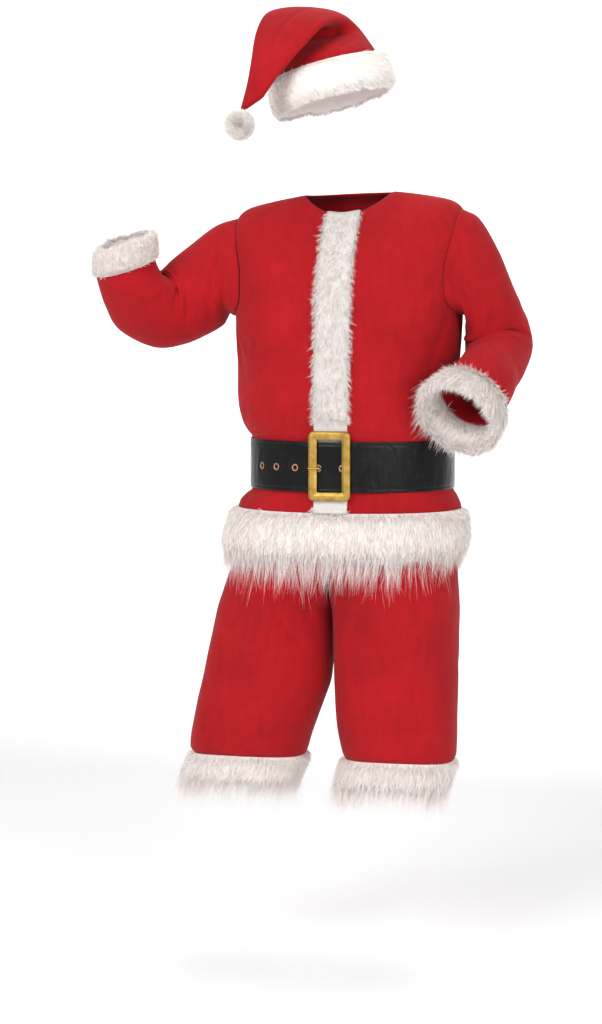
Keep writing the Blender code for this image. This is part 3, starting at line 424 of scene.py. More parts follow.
def makeVinyl():
    material, tree, shader = newMaterial("blackVinyl", vinyl["colour"], Specular_IOR_Level=0.17)
    coordinates = addNode(tree, "ShaderNodeTexCoord").outputs["Object"]
    scuff = noise(tree, coordinates, 26.0, 6.0, 0.65)
    mask = maths(tree, "MULTIPLY_ADD", scuff, 2.6, -1.25, clamp=True)
    tree.links.new(mixColour(tree, mask, vinyl["colour"], vinyl["scuff"]), shader.inputs["Base Color"])
    tree.links.new(maths(tree, "MULTIPLY_ADD", mask, 0.16, 0.22), shader.inputs["Roughness"])
    grain = addNode(tree, "ShaderNodeTexVoronoi", Scale=1300.0)
    tree.links.new(coordinates, grain.inputs["Vector"])
    wrinkle = noise(tree, coordinates, 60.0, 3.0, 0.5, (1.0, 1.0, 0.3))
    height = maths(tree, "MULTIPLY_ADD", grain.outputs[0], 0.05, maths(tree, "MULTIPLY", wrinkle, 1.0))
    bump(tree, shader, height, 0.5, 0.003)
    return material


def makeBrass(name, bright, dull, size):
    material, tree, shader = newMaterial(name, bright, Metallic=1.0)
    coordinates = addNode(tree, "ShaderNodeTexCoord").outputs["Object"]
    wear = addNode(tree, "ShaderNodeGroup", {"node_tree": wearGroup}, Bright=(*bright, 1), Dull=(*dull, 1),
                   Size=size)
    tree.links.new(coordinates, wear.inputs["Vector"])
    tree.links.new(wear.outputs["Colour"], shader.inputs["Base Color"])
    tree.links.new(wear.outputs["Roughness"], shader.inputs["Roughness"])
    bump(tree, shader, wear.outputs["Height"], 0.25, 0.0006)
    return material


redPlush = makePlush("redPlush", 9.0)
hatPlush = makePlush("hatPlush", 14.0)
whitePile = makePile("whitePile", fur["root"], fur["tip"], 0.07)
# band pile and band underfur: darker copies of the same white fur for the front band, painted shade
bandPile = makePile("bandPile", (0.66, 0.615, 0.585), (0.77, 0.72, 0.69), 0.06)
# hat pile and hat underfur: brighter copies of the same white fur, painted light that makes up for the shade on the
# down-facing hat band and the pompom
hatPilePaintedLight = makePile("hatPilePaintedLight", (0.94, 0.89, 0.85), (0.98, 0.95, 0.92), 0.04)
underfur = makeUnderfur("underfur", fur["root"], fur["tip"])
bandUnderfurPaintedShade = makeUnderfur("bandUnderfurPaintedShade", (0.60, 0.56, 0.535), (0.72, 0.675, 0.65))
hatUnderfurPaintedLight = makeUnderfur("hatUnderfurPaintedLight", (0.93, 0.88, 0.84), (0.97, 0.94, 0.91))
blackVinyl = makeVinyl()
agedBrass = makeBrass("agedBrass", brass["bright"], brass["dull"], 55.0)
eyeletBrass = makeBrass("eyeletBrass", (0.72, 0.50, 0.34), (0.40, 0.22, 0.12), 200.0)
print("materials made")

# long pile


def growPile(name, rootPoint, outward, flow, length, width, spec, seed, material=whitePile):
    # Tapered ribbons. A strand starts along outward*lift + flow, bends to flow + droop, and its
    # tip is drawn to the middle of its lock: p(s) = root + L (s d0 + s^2 (d1 - d0) / 2).
    rng = np.random.default_rng(seed)
    count = len(rootPoint)
    lock = np.arange(count) // spec["lock"]
    locks = lock.max() + 1
    stray = rng.random(count) < spec["stray"]
    lockTurn = rng.normal(0, 1, (locks, 3))[lock]
    own = rng.normal(0, 1, (count, 3))
    lean = lockTurn * spec["lockSpread"] + own * (spec["spread"] * np.where(stray, 2.6, 1.0))[:, None]
    start = unit(flow + outward * spec["lift"] + lean)
    droop = np.array(spec["droop"])
    end = unit(flow * spec["hang"] + droop + outward * spec["outEnd"] + lean * 1.2)
    reach = length * rng.uniform(*spec["lengths"], count) * (0.8 + 0.2 * rng.uniform(0, 2, locks)[lock])
    steps = spec["segments"]
    s = np.linspace(0, 1, steps + 1)[None, :, None]
    path = rootPoint[:, None] + reach[:, None, None] * (s * start[:, None] + s * s * (end - start)[:, None] / 2)
    tips = path[:, -1]
    gathered = np.zeros((locks, 3))
    np.add.at(gathered, lock, tips)
    gathered /= np.bincount(lock, minlength=locks)[:, None]
    pull = spec["clump"] * (~stray)[:, None, None] * s ** 1.5
    path = path + (gathered[lock] - tips)[:, None] * pull
    if "backRoom" in spec:
        # a strand that would stand out further behind than this is shorter
        past = np.maximum(path[..., 1].max(axis=1), spec["backRoom"])
        fit = (spec["backRoom"] - rootPoint[:, 1]) / (past - rootPoint[:, 1])
        fit = np.where(path[..., 1].max(axis=1) > spec["backRoom"], fit, 1.0)
        path = rootPoint[:, None] + (path - rootPoint[:, None]) * fit[:, None, None]
    along = unit(np.gradient(path, axis=1))
    side = unit(np.cross(along, rng.normal(0, 1, (count, 1, 3))))
    half = width * rng.uniform(0.7, 1.2, count)[:, None] * np.array(spec["taper"])[None, :]
    left = path[:, :-1] + side[:, :-1] * half[..., None]
    right = path[:, :-1] - side[:, :-1] * half[..., None]
    points = np.concatenate((np.stack((left, right), axis=2).reshape(count, -1, 3), path[:, -1:]), axis=1)
    per = points.shape[1]
    quads = [(2 * k, 2 * k + 1, 2 * k + 3, 2 * k + 2) for k in range(steps - 1)]
    corners = np.array([c for quad in quads for c in quad] + [2 * steps - 2, 2 * steps - 1, 2 * steps])
    sizes = np.tile([4] * (steps - 1) + [3], count)
    corners = (corners[None, :] + per * np.arange(count)[:, None]).ravel()
    v = np.concatenate((np.repeat(s[0, :-1, 0], 2), [1.0]))
    uv = np.stack(np.broadcast_arrays(rng.random(count)[:, None], v[None, :]), axis=-1)
    obj = setMesh(name, points, corners, sizes, material, uv)
    return place(obj, "white_fur")


def scatter(count, seed, perLock, lockSize):
    # roots in locks: seeded lock middles in the unit square, each strand a little off its own
    rng = np.random.default_rng(seed)
    locks = -(-count // perLock)
    side = max(1, int(math.sqrt(locks / 6)))
    columns = -(-locks // side)
    u = (np.arange(locks) % columns + rng.uniform(0, 1, locks)) / columns
    v = (np.arange(locks) // columns + rng.uniform(0, 1, locks)) / side
    lock = np.arange(count) // perLock
    u = u[lock] + rng.normal(0, lockSize[0], count)
    v = v[lock] + rng.normal(0, lockSize[1], count)
    return u % 1.0, np.clip(np.abs(v), 0, 1 - np.abs(1 - v) * (v > 1))


# jacket
jacket = {
    "cloth": 0.0022, "seam": 0.0003, "beltTop": -0.464, "beltBottom": -0.562, "hem": -0.600,
    "armholeTop": 4, "underarm": 8, "beltRow": 14, "armholeAngle": 0.55,
    "columns": ("zSide", "zFront", "zBack", "halfWidth", "front", "back", "shift", "tilt", "square"),
    "sections": np.array((
        (0.008, -0.036, 0.012, 0.088, 0.058, 0.088, 0.0, 0.03, 2.0),
        (0.003, -0.070, -0.004, 0.122, 0.088, 0.112, 0.0, 0.03, 2.1),
        (-0.005, -0.110, -0.040, 0.166, 0.116, 0.128, 0.0, 0.03, 2.2),
        (-0.014, -0.148, -0.085, 0.200, 0.135, 0.134, 0.0, 0.03, 2.3),
        (-0.031, -0.176, -0.122, 0.220, 0.143, 0.135, 0.0, 0.03, 2.3),
        (-0.078, -0.203, -0.160, 0.229, 0.149, 0.136, 0.0, 0.02, 2.3),
        (-0.135, -0.234, -0.203, 0.229, 0.153, 0.136, 0.0, 0.01, 2.3),
        (-0.186, -0.264, -0.243, 0.225, 0.157, 0.136, -0.001, 0.01, 2.3),
        (-0.228, -0.292, -0.278, 0.222, 0.160, 0.136, -0.003, 0.01, 2.3),
        (-0.286, -0.329, -0.322, 0.220, 0.164, 0.136, -0.003, 0.0, 2.3),
        (-0.345, -0.370, -0.366, 0.218, 0.167, 0.136, -0.003, 0.0, 2.25),
        (-0.395, -0.408, -0.406, 0.217, 0.168, 0.137, -0.002, 0.0, 2.2),
        (-0.432, -0.436, -0.436, 0.212, 0.168, 0.136, 0.002, 0.0, 2.2),
        (-0.452, -0.452, -0.452, 0.2030, 0.167, 0.132, 0.004, 0.0, 2.2),
        (-0.464, -0.464, -0.464, 0.1970, 0.166, 0.129, 0.006, 0.0, 2.2),
        (-0.562, -0.562, -0.562, 0.1970, 0.166, 0.129, 0.006, 0.0, 2.2),
        (-0.574, -0.574, -0.574, 0.2060, 0.167, 0.133, 0.003, 0.0, 2.2),
        (-0.588, -0.588, -0.588, 0.2160, 0.169, 0.138, 0.0, 0.0, 2.2),
        (-0.600, -0.600, -0.600, 0.2195, 0.171, 0.141, 0.0, 0.0, 2.2))),
    # broad folds: angle and row of the middle, depth, and half sizes
    "folds": ((-150, 9.6, -0.006, 16, 0.9), (-128, 12.2, 0.004, 12, 0.8), (-62, 12.3, 0.004, 12, 0.8),
              (-112, 5.5, -0.004, 10, 1.3), (-68, 5.5, -0.004, 10, 1.3), (40, 11.8, 0.005, 14, 0.9),
              (78, 12.2, -0.004, 12, 0.9), (-24, 10.6, -0.014, 24, 1.6), (118, 11.9, 0.005, 14, 0.9),
              (65, 5.5, -0.005, 12, 1.5), (122, 5.3, -0.005, 12, 1.5)),
    # creases on the cloth in metres: round the body from the left side seam (the front is
    # -0.30), and up; then depth, width and bow
    "girth": 0.19,
    "creases": (
        (-0.555, -0.205, -0.500, -0.330, 0.0040, 0.016, 0.006),
        (-0.520, -0.250, -0.440, -0.300, 0.0026, 0.012, 0.004),
        (-0.530, -0.445, -0.470, -0.395, 0.0035, 0.012, 0.004),
        (-0.455, -0.455, -0.430, -0.400, 0.0030, 0.010, -0.003),
        (-0.385, -0.458, -0.375, -0.415, 0.0022, 0.009, 0.002),
        (-0.235, -0.458, -0.250, -0.405, 0.0026, 0.010, -0.003),
        (-0.165, -0.455, -0.185, -0.395, 0.0032, 0.011, 0.004),
        (-0.075, -0.225, -0.130, -0.335, 0.0038, 0.015, -0.006),
        (-0.045, -0.265, -0.170, -0.300, 0.0030, 0.013, 0.005),
        (-0.090, -0.350, -0.210, -0.385, 0.0030, 0.014, 0.006),
        (-0.110, -0.140, -0.170, -0.225, 0.0026, 0.016, 0.005),
        (-0.490, -0.140, -0.440, -0.215, 0.0026, 0.016, -0.005),
        (-0.420, -0.330, -0.400, -0.430, 0.0016, 0.014, 0.004),
        (-0.200, -0.310, -0.215, -0.380, 0.0016, 0.014, -0.004),
        (-0.500, -0.568, -0.492, -0.600, 0.0022, 0.009, 0.0),
        (-0.430, -0.568, -0.436, -0.600, 0.0020, 0.008, 0.0),
        (-0.170, -0.568, -0.178, -0.600, 0.0022, 0.009, 0.0),
        (-0.090, -0.568, -0.084, -0.600, 0.0020, 0.008, 0.0),
        (0.075, -0.230, 0.150, -0.345, 0.0042, 0.016, 0.006),
        (0.520, -0.235, 0.450, -0.350, 0.0042, 0.016, -0.006),
        (0.110, -0.455, 0.130, -0.380, 0.0036, 0.012, 0.004),
        (0.200, -0.458, 0.195, -0.400, 0.0030, 0.011, -0.003),
        (0.300, -0.455, 0.310, -0.370, 0.0034, 0.013, 0.004),
        (0.400, -0.458, 0.390, -0.395, 0.0030, 0.011, 0.003),
        (0.490, -0.455, 0.470, -0.385, 0.0036, 0.012, -0.004),
        (0.160, -0.110, 0.220, -0.230, 0.0024, 0.018, 0.006),
        (0.440, -0.110, 0.380, -0.230, 0.0024, 0.018, -0.006),
        (0.220, -0.300, 0.380, -0.325, 0.0022, 0.016, 0.010),
        (0.150, -0.568, 0.155, -0.600, 0.0022, 0.009, 0.0),
        (0.290, -0.568, 0.284, -0.600, 0.0022, 0.009, 0.0),
        (0.420, -0.568, 0.428, -0.600, 0.0022, 0.009, 0.0)),
}


def torso(angle, row):
    # superellipse sections whose sizes run smoothly down the table; angle 0 at +X, -90 degrees
    # at the front; the broad folds are added to both half sizes
    angle, row = np.broadcast_arrays(np.asarray(angle, float), np.asarray(row, float))
    values = smoothRows(jacket["sections"], row.ravel()).T.reshape((-1,) + row.shape)
    part = dict(zip(jacket["columns"], values))
    curve = 2 / part["square"]
    along, across = np.cos(angle), np.sin(angle)
    puff = np.zeros_like(angle)
    for middle, foldRow, depth, spread, rowSpread in jacket["folds"]:
        apart = angleApart(np.degrees(angle), middle) / spread
        puff += depth * np.exp(-apart ** 2 - ((row - foldRow) / rowSpread) ** 2)
    inFront = across < 0
    x = part["shift"] + signedPower(along, curve) * (part["halfWidth"] + puff)
    y = signedPower(across, curve) * (np.where(inFront, part["front"], part["back"]) + puff)
    middleZ = np.where(inFront, part["zFront"], part["zBack"])
    z = part["zSide"] + across ** 2 * (middleZ - part["zSide"]) + part["tilt"] * x
    return np.stack((x, y, z), axis=-1)


def torsoNormal(angle, row):
    row = np.asarray(row, float)
    last = len(jacket["sections"]) - 1
    down = torso(angle, np.clip(row + 0.02, 0, last)) - torso(angle, np.clip(row - 0.02, 0, last))
    around = torso(angle + 0.004, row) - torso(angle - 0.004, row)
    return unit(np.cross(down, around))


def jacketSkin(angle, row):
    # the torso with its creases and unevenness moved along the normal; calm under the belt
    point, normal = torso(angle, row), torsoNormal(angle, row)
    girth = jacket["girth"]
    a, z = angle * girth, point[..., 2]
    height = creases(a, z, jacket["creases"], 2 * math.pi * girth) + ripple(a, z, 0.0016, 21)
    calm = smoothStep((z - jacket["beltTop"] + 0.004) / 0.02) + smoothStep((jacket["beltBottom"] + 0.004 - z) / 0.012)
    calm = calm * smoothStep((z - jacket["hem"]) / 0.006)
    neck = smoothStep(np.asarray(row, float) / 0.8)
    return point + normal * (height * calm * neck)[..., None], normal


def rowAtBelt(z):
    rows = np.linspace(jacket["beltRow"], jacket["beltRow"] + 1, 200)
    return np.interp(-np.asarray(z, float), -smoothRows(jacket["sections"], rows)[:, 0], rows)


def armholeCut(row):
    middle = (jacket["armholeTop"] + jacket["underarm"]) / 2
    half = (jacket["underarm"] - jacket["armholeTop"]) / 2
    return jacket["armholeAngle"] * np.sqrt(np.clip(1 - ((row - middle) / half) ** 2, 0, 1))


def armholeRows(steps):
    middle = (jacket["armholeTop"] + jacket["underarm"]) / 2
    half = (jacket["underarm"] - jacket["armholeTop"]) / 2
    return middle - half * np.cos(np.linspace(0, math.pi, steps + 1))


def jacketRows():
    top = np.arange(0, jacket["armholeTop"], 0.25)
    last = len(jacket["sections"]) - 1
    low = np.concatenate((np.arange(jacket["underarm"] + 0.2, 13, 0.2), np.arange(13, 14, 0.25),
                          np.arange(14, 15, 0.2), np.arange(15, last + 0.01, 0.25)))
    return np.concatenate((top, armholeRows(28), low))


def makePanel(name, first, last, columns, rows, node):
    share = np.linspace(0, 1, columns + 1)
    share = 0.5 * share + 0.5 * smoothStep(share)
    angles = first + share[None, :] * (last - first)
    row = np.broadcast_to(rows[:, None], angles.shape)
    outer, normal = jacketSkin(angles, row)
    toEdge = np.minimum(np.linalg.norm(outer - outer[:, :1], axis=-1), np.linalg.norm(outer - outer[:, -1:], axis=-1))
    dip = 0.0002 * np.exp(-(toEdge / 0.0035) ** 2)
    outer = outer - normal * dip[..., None]
    inner = outer - normal * jacket["cloth"]
    for grid in (outer, inner):
        grid[:, 0] += unit(grid[:, 1] - grid[:, 0]) * jacket["seam"] / 2
        grid[:, -1] += unit(grid[:, -2] - grid[:, -1]) * jacket["seam"] / 2
    inner[-1, :, 2] = outer[-1, :, 2]
    panel = wall(name, outer, inner, gridQuads(gridNumbers(*angles.shape)), redPlush)
    place(panel, "red_plush", node)
    return panel


def makeJacket():
    rows = jacketRows()
    cut = armholeCut(rows)[:, None]
    quarter = math.pi / 2
    makePanel("jacketFrontRight", -math.pi + cut, np.full_like(cut, -quarter), 34, rows,
              "jacket_front_right")
    makePanel("jacketFrontLeft", np.full_like(cut, -quarter), -cut, 34, rows,
              "jacket_front_left")
    makePanel("jacketBack", cut, math.pi - cut, 64, rows, "jacket_back")


makeJacket()
print("jacket made")

# sleeves
sleeves = {
    "right": {
        "side": -1,
        # middle of each section, its half sizes up and to the front, and its share of the
        # armhole's own shape
        "sections": np.array((
            (-0.250, -0.004, -0.146, 0.076, 0.083, 0.60), (-0.284, -0.010, -0.172, 0.080, 0.083, 0.30),
            (-0.318, -0.023, -0.194, 0.079, 0.082, 0.10), (-0.350, -0.041, -0.209, 0.079, 0.081, 0.0),
            (-0.374, -0.064, -0.214, 0.077, 0.079, 0.0), (-0.392, -0.090, -0.208, 0.067, 0.075, 0.0),
            (-0.402, -0.110, -0.184, 0.060, 0.069, 0.0), (-0.411, -0.119, -0.160, 0.058, 0.063, 0.0),
            (-0.417, -0.126, -0.135, 0.059, 0.060, 0.0))),
        "folds": ((4.6, 0, -0.016, 0.7, 38), (3.2, 40, 0.006, 0.6, 30), (3.0, -70, -0.006, 0.8, 30),
                  (5.8, 60, 0.005, 0.6, 35), (2.0, 150, -0.005, 0.8, 30), (6.4, 180, -0.012, 0.9, 45)),
        # creases: degrees round (0 up, 90 to the front) and station along, from and to; depth,
        # width, bow
        "creases": ((20, 4.4, 95, 4.9, 0.0075, 0.011, 0.004), (-30, 4.5, -95, 4.9, 0.0060, 0.011, -0.004),
                    (70, 3.4, 128, 4.5, 0.0032, 0.010, 0.005), (35, 5.6, 110, 5.4, 0.0034, 0.010, -0.004),
                    (40, 1.0, 112, 1.9, 0.0038, 0.013, 0.006), (70, 0.35, 150, 1.1, 0.0034, 0.012, -0.005),
                    (95, 2.2, 150, 3.0, 0.0026, 0.013, 0.006), (20, 2.2, 60, 3.2, 0.0030, 0.012, 0.004),
                    (160, 0.5, 200, 1.6, 0.0036, 0.013, 0.005), (-40, 1.0, -110, 2.0, 0.0036, 0.014, -0.006),
                    (-70, 2.6, -140, 3.4, 0.0032, 0.013, 0.005), (-60, 5.6, -120, 5.9, 0.0030, 0.011, 0.004),
                    (100, 6.6, 160, 7.2, 0.0022, 0.010, 0.004), (20, 7.0, 80, 7.4, 0.0020, 0.009, -0.003))},
    "left": {
        "side": 1,
        "sections": np.array((
            (0.2340, 0.003, -0.1480, 0.040, 0.082, 0.88), (0.2490, 0.012, -0.1780, 0.038, 0.080, 0.60),
            (0.2665, 0.026, -0.2140, 0.048, 0.077, 0.25), (0.2810, 0.040, -0.2500, 0.0610, 0.075, 0.0),
            (0.2865, 0.040, -0.2840, 0.0650, 0.074, 0.0), (0.2845, 0.008, -0.3130, 0.0610, 0.069, 0.0),
            (0.2810, -0.038, -0.3330, 0.058, 0.064, 0.0), (0.2750, -0.086, -0.3550, 0.062, 0.065, 0.0),
            (0.2610, -0.122, -0.3820, 0.0645, 0.066, 0.0))),
        "folds": ((4.6, 90, -0.014, 0.7, 40), (3.7, 138, 0.028, 1.2, 28), (5.8, 60, 0.005, 0.6, 35),
                  (2.4, 20, -0.005, 0.9, 30)),
        "creases": ((60, 4.3, 130, 4.7, 0.0075, 0.011, 0.004), (20, 4.9, 75, 4.6, 0.0045, 0.010, -0.004),
                    (110, 5.5, 160, 5.2, 0.0036, 0.010, 0.004), (60, 0.5, 120, 1.6, 0.0040, 0.013, 0.006),
                    (95, 1.2, 140, 2.6, 0.0034, 0.013, -0.006), (35, 1.6, 80, 2.9, 0.0026, 0.013, 0.005),
                    (75, 3.0, 120, 3.8, 0.0032, 0.011, 0.005), (0, 3.6, 45, 4.3, 0.0028, 0.012, 0.005),
                    (30, 6.0, 85, 6.7, 0.0032, 0.011, 0.005), (-20, 6.6, 30, 7.3, 0.0028, 0.011, -0.004),
                    (90, 6.9, 140, 7.6, 0.0026, 0.010, 0.004), (-50, 1.2, -110, 2.4, 0.0038, 0.014, -0.006),
                    (-70, 3.0, -130, 3.8, 0.0034, 0.013, 0.005), (-80, 5.0, -20, 5.4, 0.0034, 0.012, 0.005),
                    (-110, 6.2, -60, 7.0, 0.0028, 0.012, 0.004))},
    "columns": 72, "perStation": 7, "radius": 0.072,
}


def armholeLoop(side, steps):
    rows = armholeRows(steps)
    cut = armholeCut(rows)
    rows = np.concatenate((rows, rows[-2:0:-1]))
    swing = np.concatenate((-cut, cut[-2:0:-1]))
    angle = swing if side > 0 else math.pi - swing
    return jacketSkin(angle, rows)


def carriedFrames(tangent, up):
    # up and across vectors along a path, turned as little as possible
    ups = []
    for direction in tangent:
        up = up - direction * np.dot(up, direction)
        up = up / np.linalg.norm(up)
        ups.append(up)
    ups = np.array(ups)
    return ups, np.cross(tangent, ups)


def tubeNormals(rings):
    along = np.gradient(rings, axis=0)
    around = np.roll(rings, -1, axis=1) - np.roll(rings, 1, axis=1)
    normal = unit(np.cross(along, around))
    middle = rings.mean(axis=1, keepdims=True)
    return normal * np.sign((normal * (rings - middle)).sum(axis=-1).mean())


def sleeveRings(side, table, folds, columns):
    # from the armhole's loop to a round seam: each ring mixes the armhole's own shape with an
    # ellipse square to the arm's path
    loop, loopNormal = armholeLoop(side, columns // 2)
    loop = loop + loopNormal * jacket["seam"]
    start = loop.mean(axis=0)
    centres = np.concatenate((start[None], table[:, :3]))
    share = np.concatenate(((1.0,), table[:, 5]))[:, None]
    tangent = unit((1 - share) * unit(np.gradient(centres, axis=0)) + share * np.array((side, 0, 0)))
    ups, across = carriedFrames(tangent, np.array((0.0, 0.0, 1.0)))
    across = across * (1 if side > 0 else -1)
    local = loop - start
    angle = np.linspace(0, 2 * math.pi, len(loop), endpoint=False)
    station = np.arange(len(centres))[:, None]
    half = np.concatenate((table[:1, 3:5], table[:, 3:5]))[:, :, None]
    puff = np.zeros((len(centres), len(loop)))
    for foldStation, middle, depth, spread, angleSpread in folds:
        apart = angleApart(np.degrees(angle), middle) / angleSpread
        puff += depth * np.exp(-apart ** 2 - ((station - foldStation) / spread) ** 2)
    up = (1 - share) * np.cos(angle) * (half[:, 0] + puff) + share * local[:, 2]
    side_ = (1 - share) * np.sin(angle) * (half[:, 1] + puff) - share * local[:, 1]
    lead = share * local[:, 0] * side
    rings = (centres[:, None] + up[..., None] * ups[:, None] + side_[..., None] * across[:, None]
             + lead[..., None] * tangent[:, None])
    return rings, tangent


def makeSleeve(word):
    spec = sleeves[word]
    rings, tangent = sleeveRings(spec["side"], spec["sections"], spec["folds"], sleeves["columns"])
    stations = np.linspace(0, len(rings) - 1, (len(rings) - 1) * sleeves["perStation"] + 1)
    rings = roundRows(rings, stations)
    normal = tubeNormals(rings)
    centres = rings.mean(axis=1)
    travelled = np.concatenate(([0], np.cumsum(np.linalg.norm(np.diff(centres, axis=0), axis=1))))
    radius = sleeves["radius"]
    angle = np.linspace(0, 2 * math.pi, rings.shape[1], endpoint=False)
    atStation = np.interp([c[1] for c in spec["creases"]], stations, travelled)
    toStation = np.interp([c[3] for c in spec["creases"]], stations, travelled)
    table = [(math.radians(c[0]) * radius, a, math.radians(c[2]) * radius, b, *c[4:])
             for c, a, b in zip(spec["creases"], atStation, toStation)]
    a, b = (angle * radius)[None, :], travelled[:, None]
    height = creases(a, b, table, 2 * math.pi * radius) + ripple(a, b, 0.0012, 31 + spec["side"])
    ends = smoothStep(travelled / 0.012)[:, None] * smoothStep((travelled[-1] - travelled) / 0.012)[:, None]
    seamDip = 0.0001 * np.exp(-(travelled / 0.004) ** 2)[:, None]
    outer = rings + normal * (height * ends - seamDip)[..., None]
    inner = outer - normal * jacket["cloth"]
    piece = wall("sleeve" + word.capitalize(), outer, inner,
                 gridQuads(gridNumbers(*outer.shape[:2], roundColumns=True)), redPlush)
    place(piece, "red_plush", "sleeve_" + word)
    return outer[-1], tangent[-1]


sleeveEnds = {"right": makeSleeve("right"), "left": makeSleeve("left")}
print("sleeves made")

# trousers
trousers = {
    "cloth": 0.0022, "waistbandBottom": -0.540, "crotch": 7, "seamShift": -0.030, "square": 2.15, "columns": 96,
    "perRow": 6, "names": ("z", "rightOut", "rightIn", "leftIn", "leftOut", "front", "back"),
    "sections": np.array((
        (-0.5403, -0.196, 0.180, -0.180, 0.196, -0.160, 0.126), (-0.566, -0.196, 0.180, -0.180, 0.196, -0.160, 0.126),
        (-0.605, -0.203, 0.140, -0.140, 0.203, -0.159, 0.129), (-0.655, -0.211, 0.080, -0.095, 0.208, -0.160, 0.131),
        (-0.695, -0.221, 0.035, -0.062, 0.2125, -0.159, 0.134), (-0.735, -0.237, 0.010, -0.046, 0.2140, -0.155, 0.135),
        (-0.770, -0.250, -0.012, -0.037, 0.2155, -0.148, 0.138),
        (-0.800, -0.260, -0.0303, -0.0297, 0.2165, -0.142, 0.136),
        (-0.850, -0.272, -0.0325, -0.0275, 0.2165, -0.136, 0.127), (-0.900, -0.284, -0.0345, -0.0265, 0.2165, -0.132, 0.118),
        (-0.940, -0.293, -0.0375, -0.0255, 0.2165, -0.130, 0.111), (-0.985, -0.303, -0.0510, -0.0225, 0.2165, -0.129, 0.104),
        (-1.025, -0.310, -0.0650, -0.0180, 0.2165, -0.129, 0.099), (-1.058, -0.3155, -0.0765, -0.0120, 0.2160, -0.129, 0.097),
        (-1.080, -0.3170, -0.0825, -0.0070, 0.2150, -0.126, 0.094), (-1.092, -0.3110, -0.0870, -0.0020, 0.2110, -0.118, 0.087))),
    "folds": {"right": ((-0.86, 245, -0.007, 0.10, 16), (-0.97, 285, 0.005, 0.09, 16), (-1.02, 225, 0.005, 0.06, 18),
                        (-0.90, 120, -0.007, 0.10, 18), (-1.00, 70, -0.006, 0.08, 18)),
              "left": ((-0.87, 250, -0.006, 0.10, 16), (-0.99, 292, -0.006, 0.09, 16), (-1.03, 245, 0.005, 0.05, 18),
                       (-0.92, 70, -0.007, 0.10, 18), (-1.00, 120, -0.006, 0.08, 18))},
    "girth": 0.115, "arch": 0.008,
    # creases: degrees round (270 in front) and height, from and to; depth, width, bow
    "creases": {
        "right": ((300, -0.735, 332, -0.840, 0.0040, 0.013, 0.006), (285, -0.800, 322, -0.880, 0.0026, 0.013, 0.005),
                  (215, -0.700, 245, -0.730, 0.0022, 0.011, 0.004), (222, -0.850, 262, -0.838, 0.0026, 0.012, -0.004),
                  (240, -0.905, 292, -0.872, 0.0022, 0.013, -0.006), (250, -1.000, 312, -0.945, 0.0042, 0.014, -0.006),
                  (228, -1.030, 262, -1.010, 0.0026, 0.011, 0.004), (280, -1.052, 318, -1.030, 0.0024, 0.010, 0.004),
                  (205, -0.930, 238, -0.965, 0.0024, 0.012, 0.004), (60, -0.760, 110, -0.880, 0.0042, 0.016, 0.008),
                  (120, -0.840, 85, -0.960, 0.0034, 0.015, -0.006), (50, -0.980, 125, -0.950, 0.0040, 0.015, 0.006),
                  (150, -0.900, 178, -1.020, 0.0030, 0.014, 0.006)),
        "left": ((240, -0.735, 212, -0.850, 0.0040, 0.013, -0.006), (255, -0.790, 228, -0.870, 0.0024, 0.012, 0.004),
                 (262, -0.900, 240, -0.960, 0.0024, 0.012, 0.005), (225, -0.985, 262, -1.012, 0.0030, 0.012, 0.005),
                 (285, -0.800, 318, -0.870, 0.0022, 0.013, 0.005), (270, -1.040, 318, -1.005, 0.0030, 0.012, -0.005),
                 (298, -0.920, 330, -0.960, 0.0024, 0.012, 0.004), (75, -0.770, 115, -0.890, 0.0040, 0.016, 0.008),
                 (60, -0.960, 130, -0.985, 0.0038, 0.015, 0.006), (110, -0.860, 70, -0.930, 0.0030, 0.014, -0.006),
                 (10, -0.900, 35, -1.010, 0.0030, 0.014, 0.005))},
}


def legSurface(side, table, rows, columns):
    # one leg: superellipse sections; above the crotch a section is cut off at the centre seam,
    # and at the top it follows the jacket's waist
    part = dict(zip(trousers["names"], smoothRows(table, rows).T))
    z, front, back = part["z"], part["front"], part["back"]
    word = "left" if side > 0 else "right"
    out, close = part[word + "Out"], part[word + "In"]
    centre, half = (out + close) / 2, np.abs(out - close) / 2
    top, crotch = table[0, 0], table[trousers["crotch"], 0]
    seam = trousers["seamShift"] * np.clip((top - z) / (top - crotch), 0, 1) + side * jacket["seam"] / 2
    reach = np.clip((centre - seam) / half * side, 0, 1)
    cut = np.where(rows >= trousers["crotch"] - 1e-6, 0, np.arccos(reach ** (trousers["square"] / 2)))[:, None]
    s = np.linspace(0, 1, columns + 1)[None, :]
    angle = (math.pi if side > 0 else 0.0) + cut + s * (2 * math.pi - 2 * cut)
    puff = np.zeros_like(angle)
    for foldZ, middle, depth, spread, angleSpread in trousers["folds"][word]:
        apart = angleApart(np.degrees(angle), middle) / angleSpread
        puff += depth * np.exp(-apart ** 2 - ((z[:, None] - foldZ) / spread) ** 2)
    curve = 2 / trousers["square"]
    x = centre[:, None] + signedPower(np.cos(angle), curve) * (half[:, None] + puff)
    y = ((front + back) / 2)[:, None] + signedPower(np.sin(angle), curve) * (((back - front) / 2)[:, None] + puff)
    arch = trousers["arch"] * smoothStep((rows - 12) / 3)[:, None] * np.sin(angle) ** 2
    points = np.stack((x, y, z[:, None] + arch), axis=-1)
    waistAngle = (-math.pi / 2 if side > 0 else math.pi / 2) + s[0] * math.pi
    waistRow = np.full(waistAngle.shape, rowAtBelt(trousers["waistbandBottom"]))
    waist = torso(waistAngle, waistRow)
    waist = waist - torsoNormal(waistAngle, waistRow) * (jacket["cloth"] + 0.0016)
    waist[0, 0] = waist[-1, 0] = side * jacket["seam"] / 2
    share = smoothStep(2 - rows)[:, None, None]
    points[..., :2] = points[..., :2] * (1 - share) + waist[None, :, :2] * share
    return points, angle


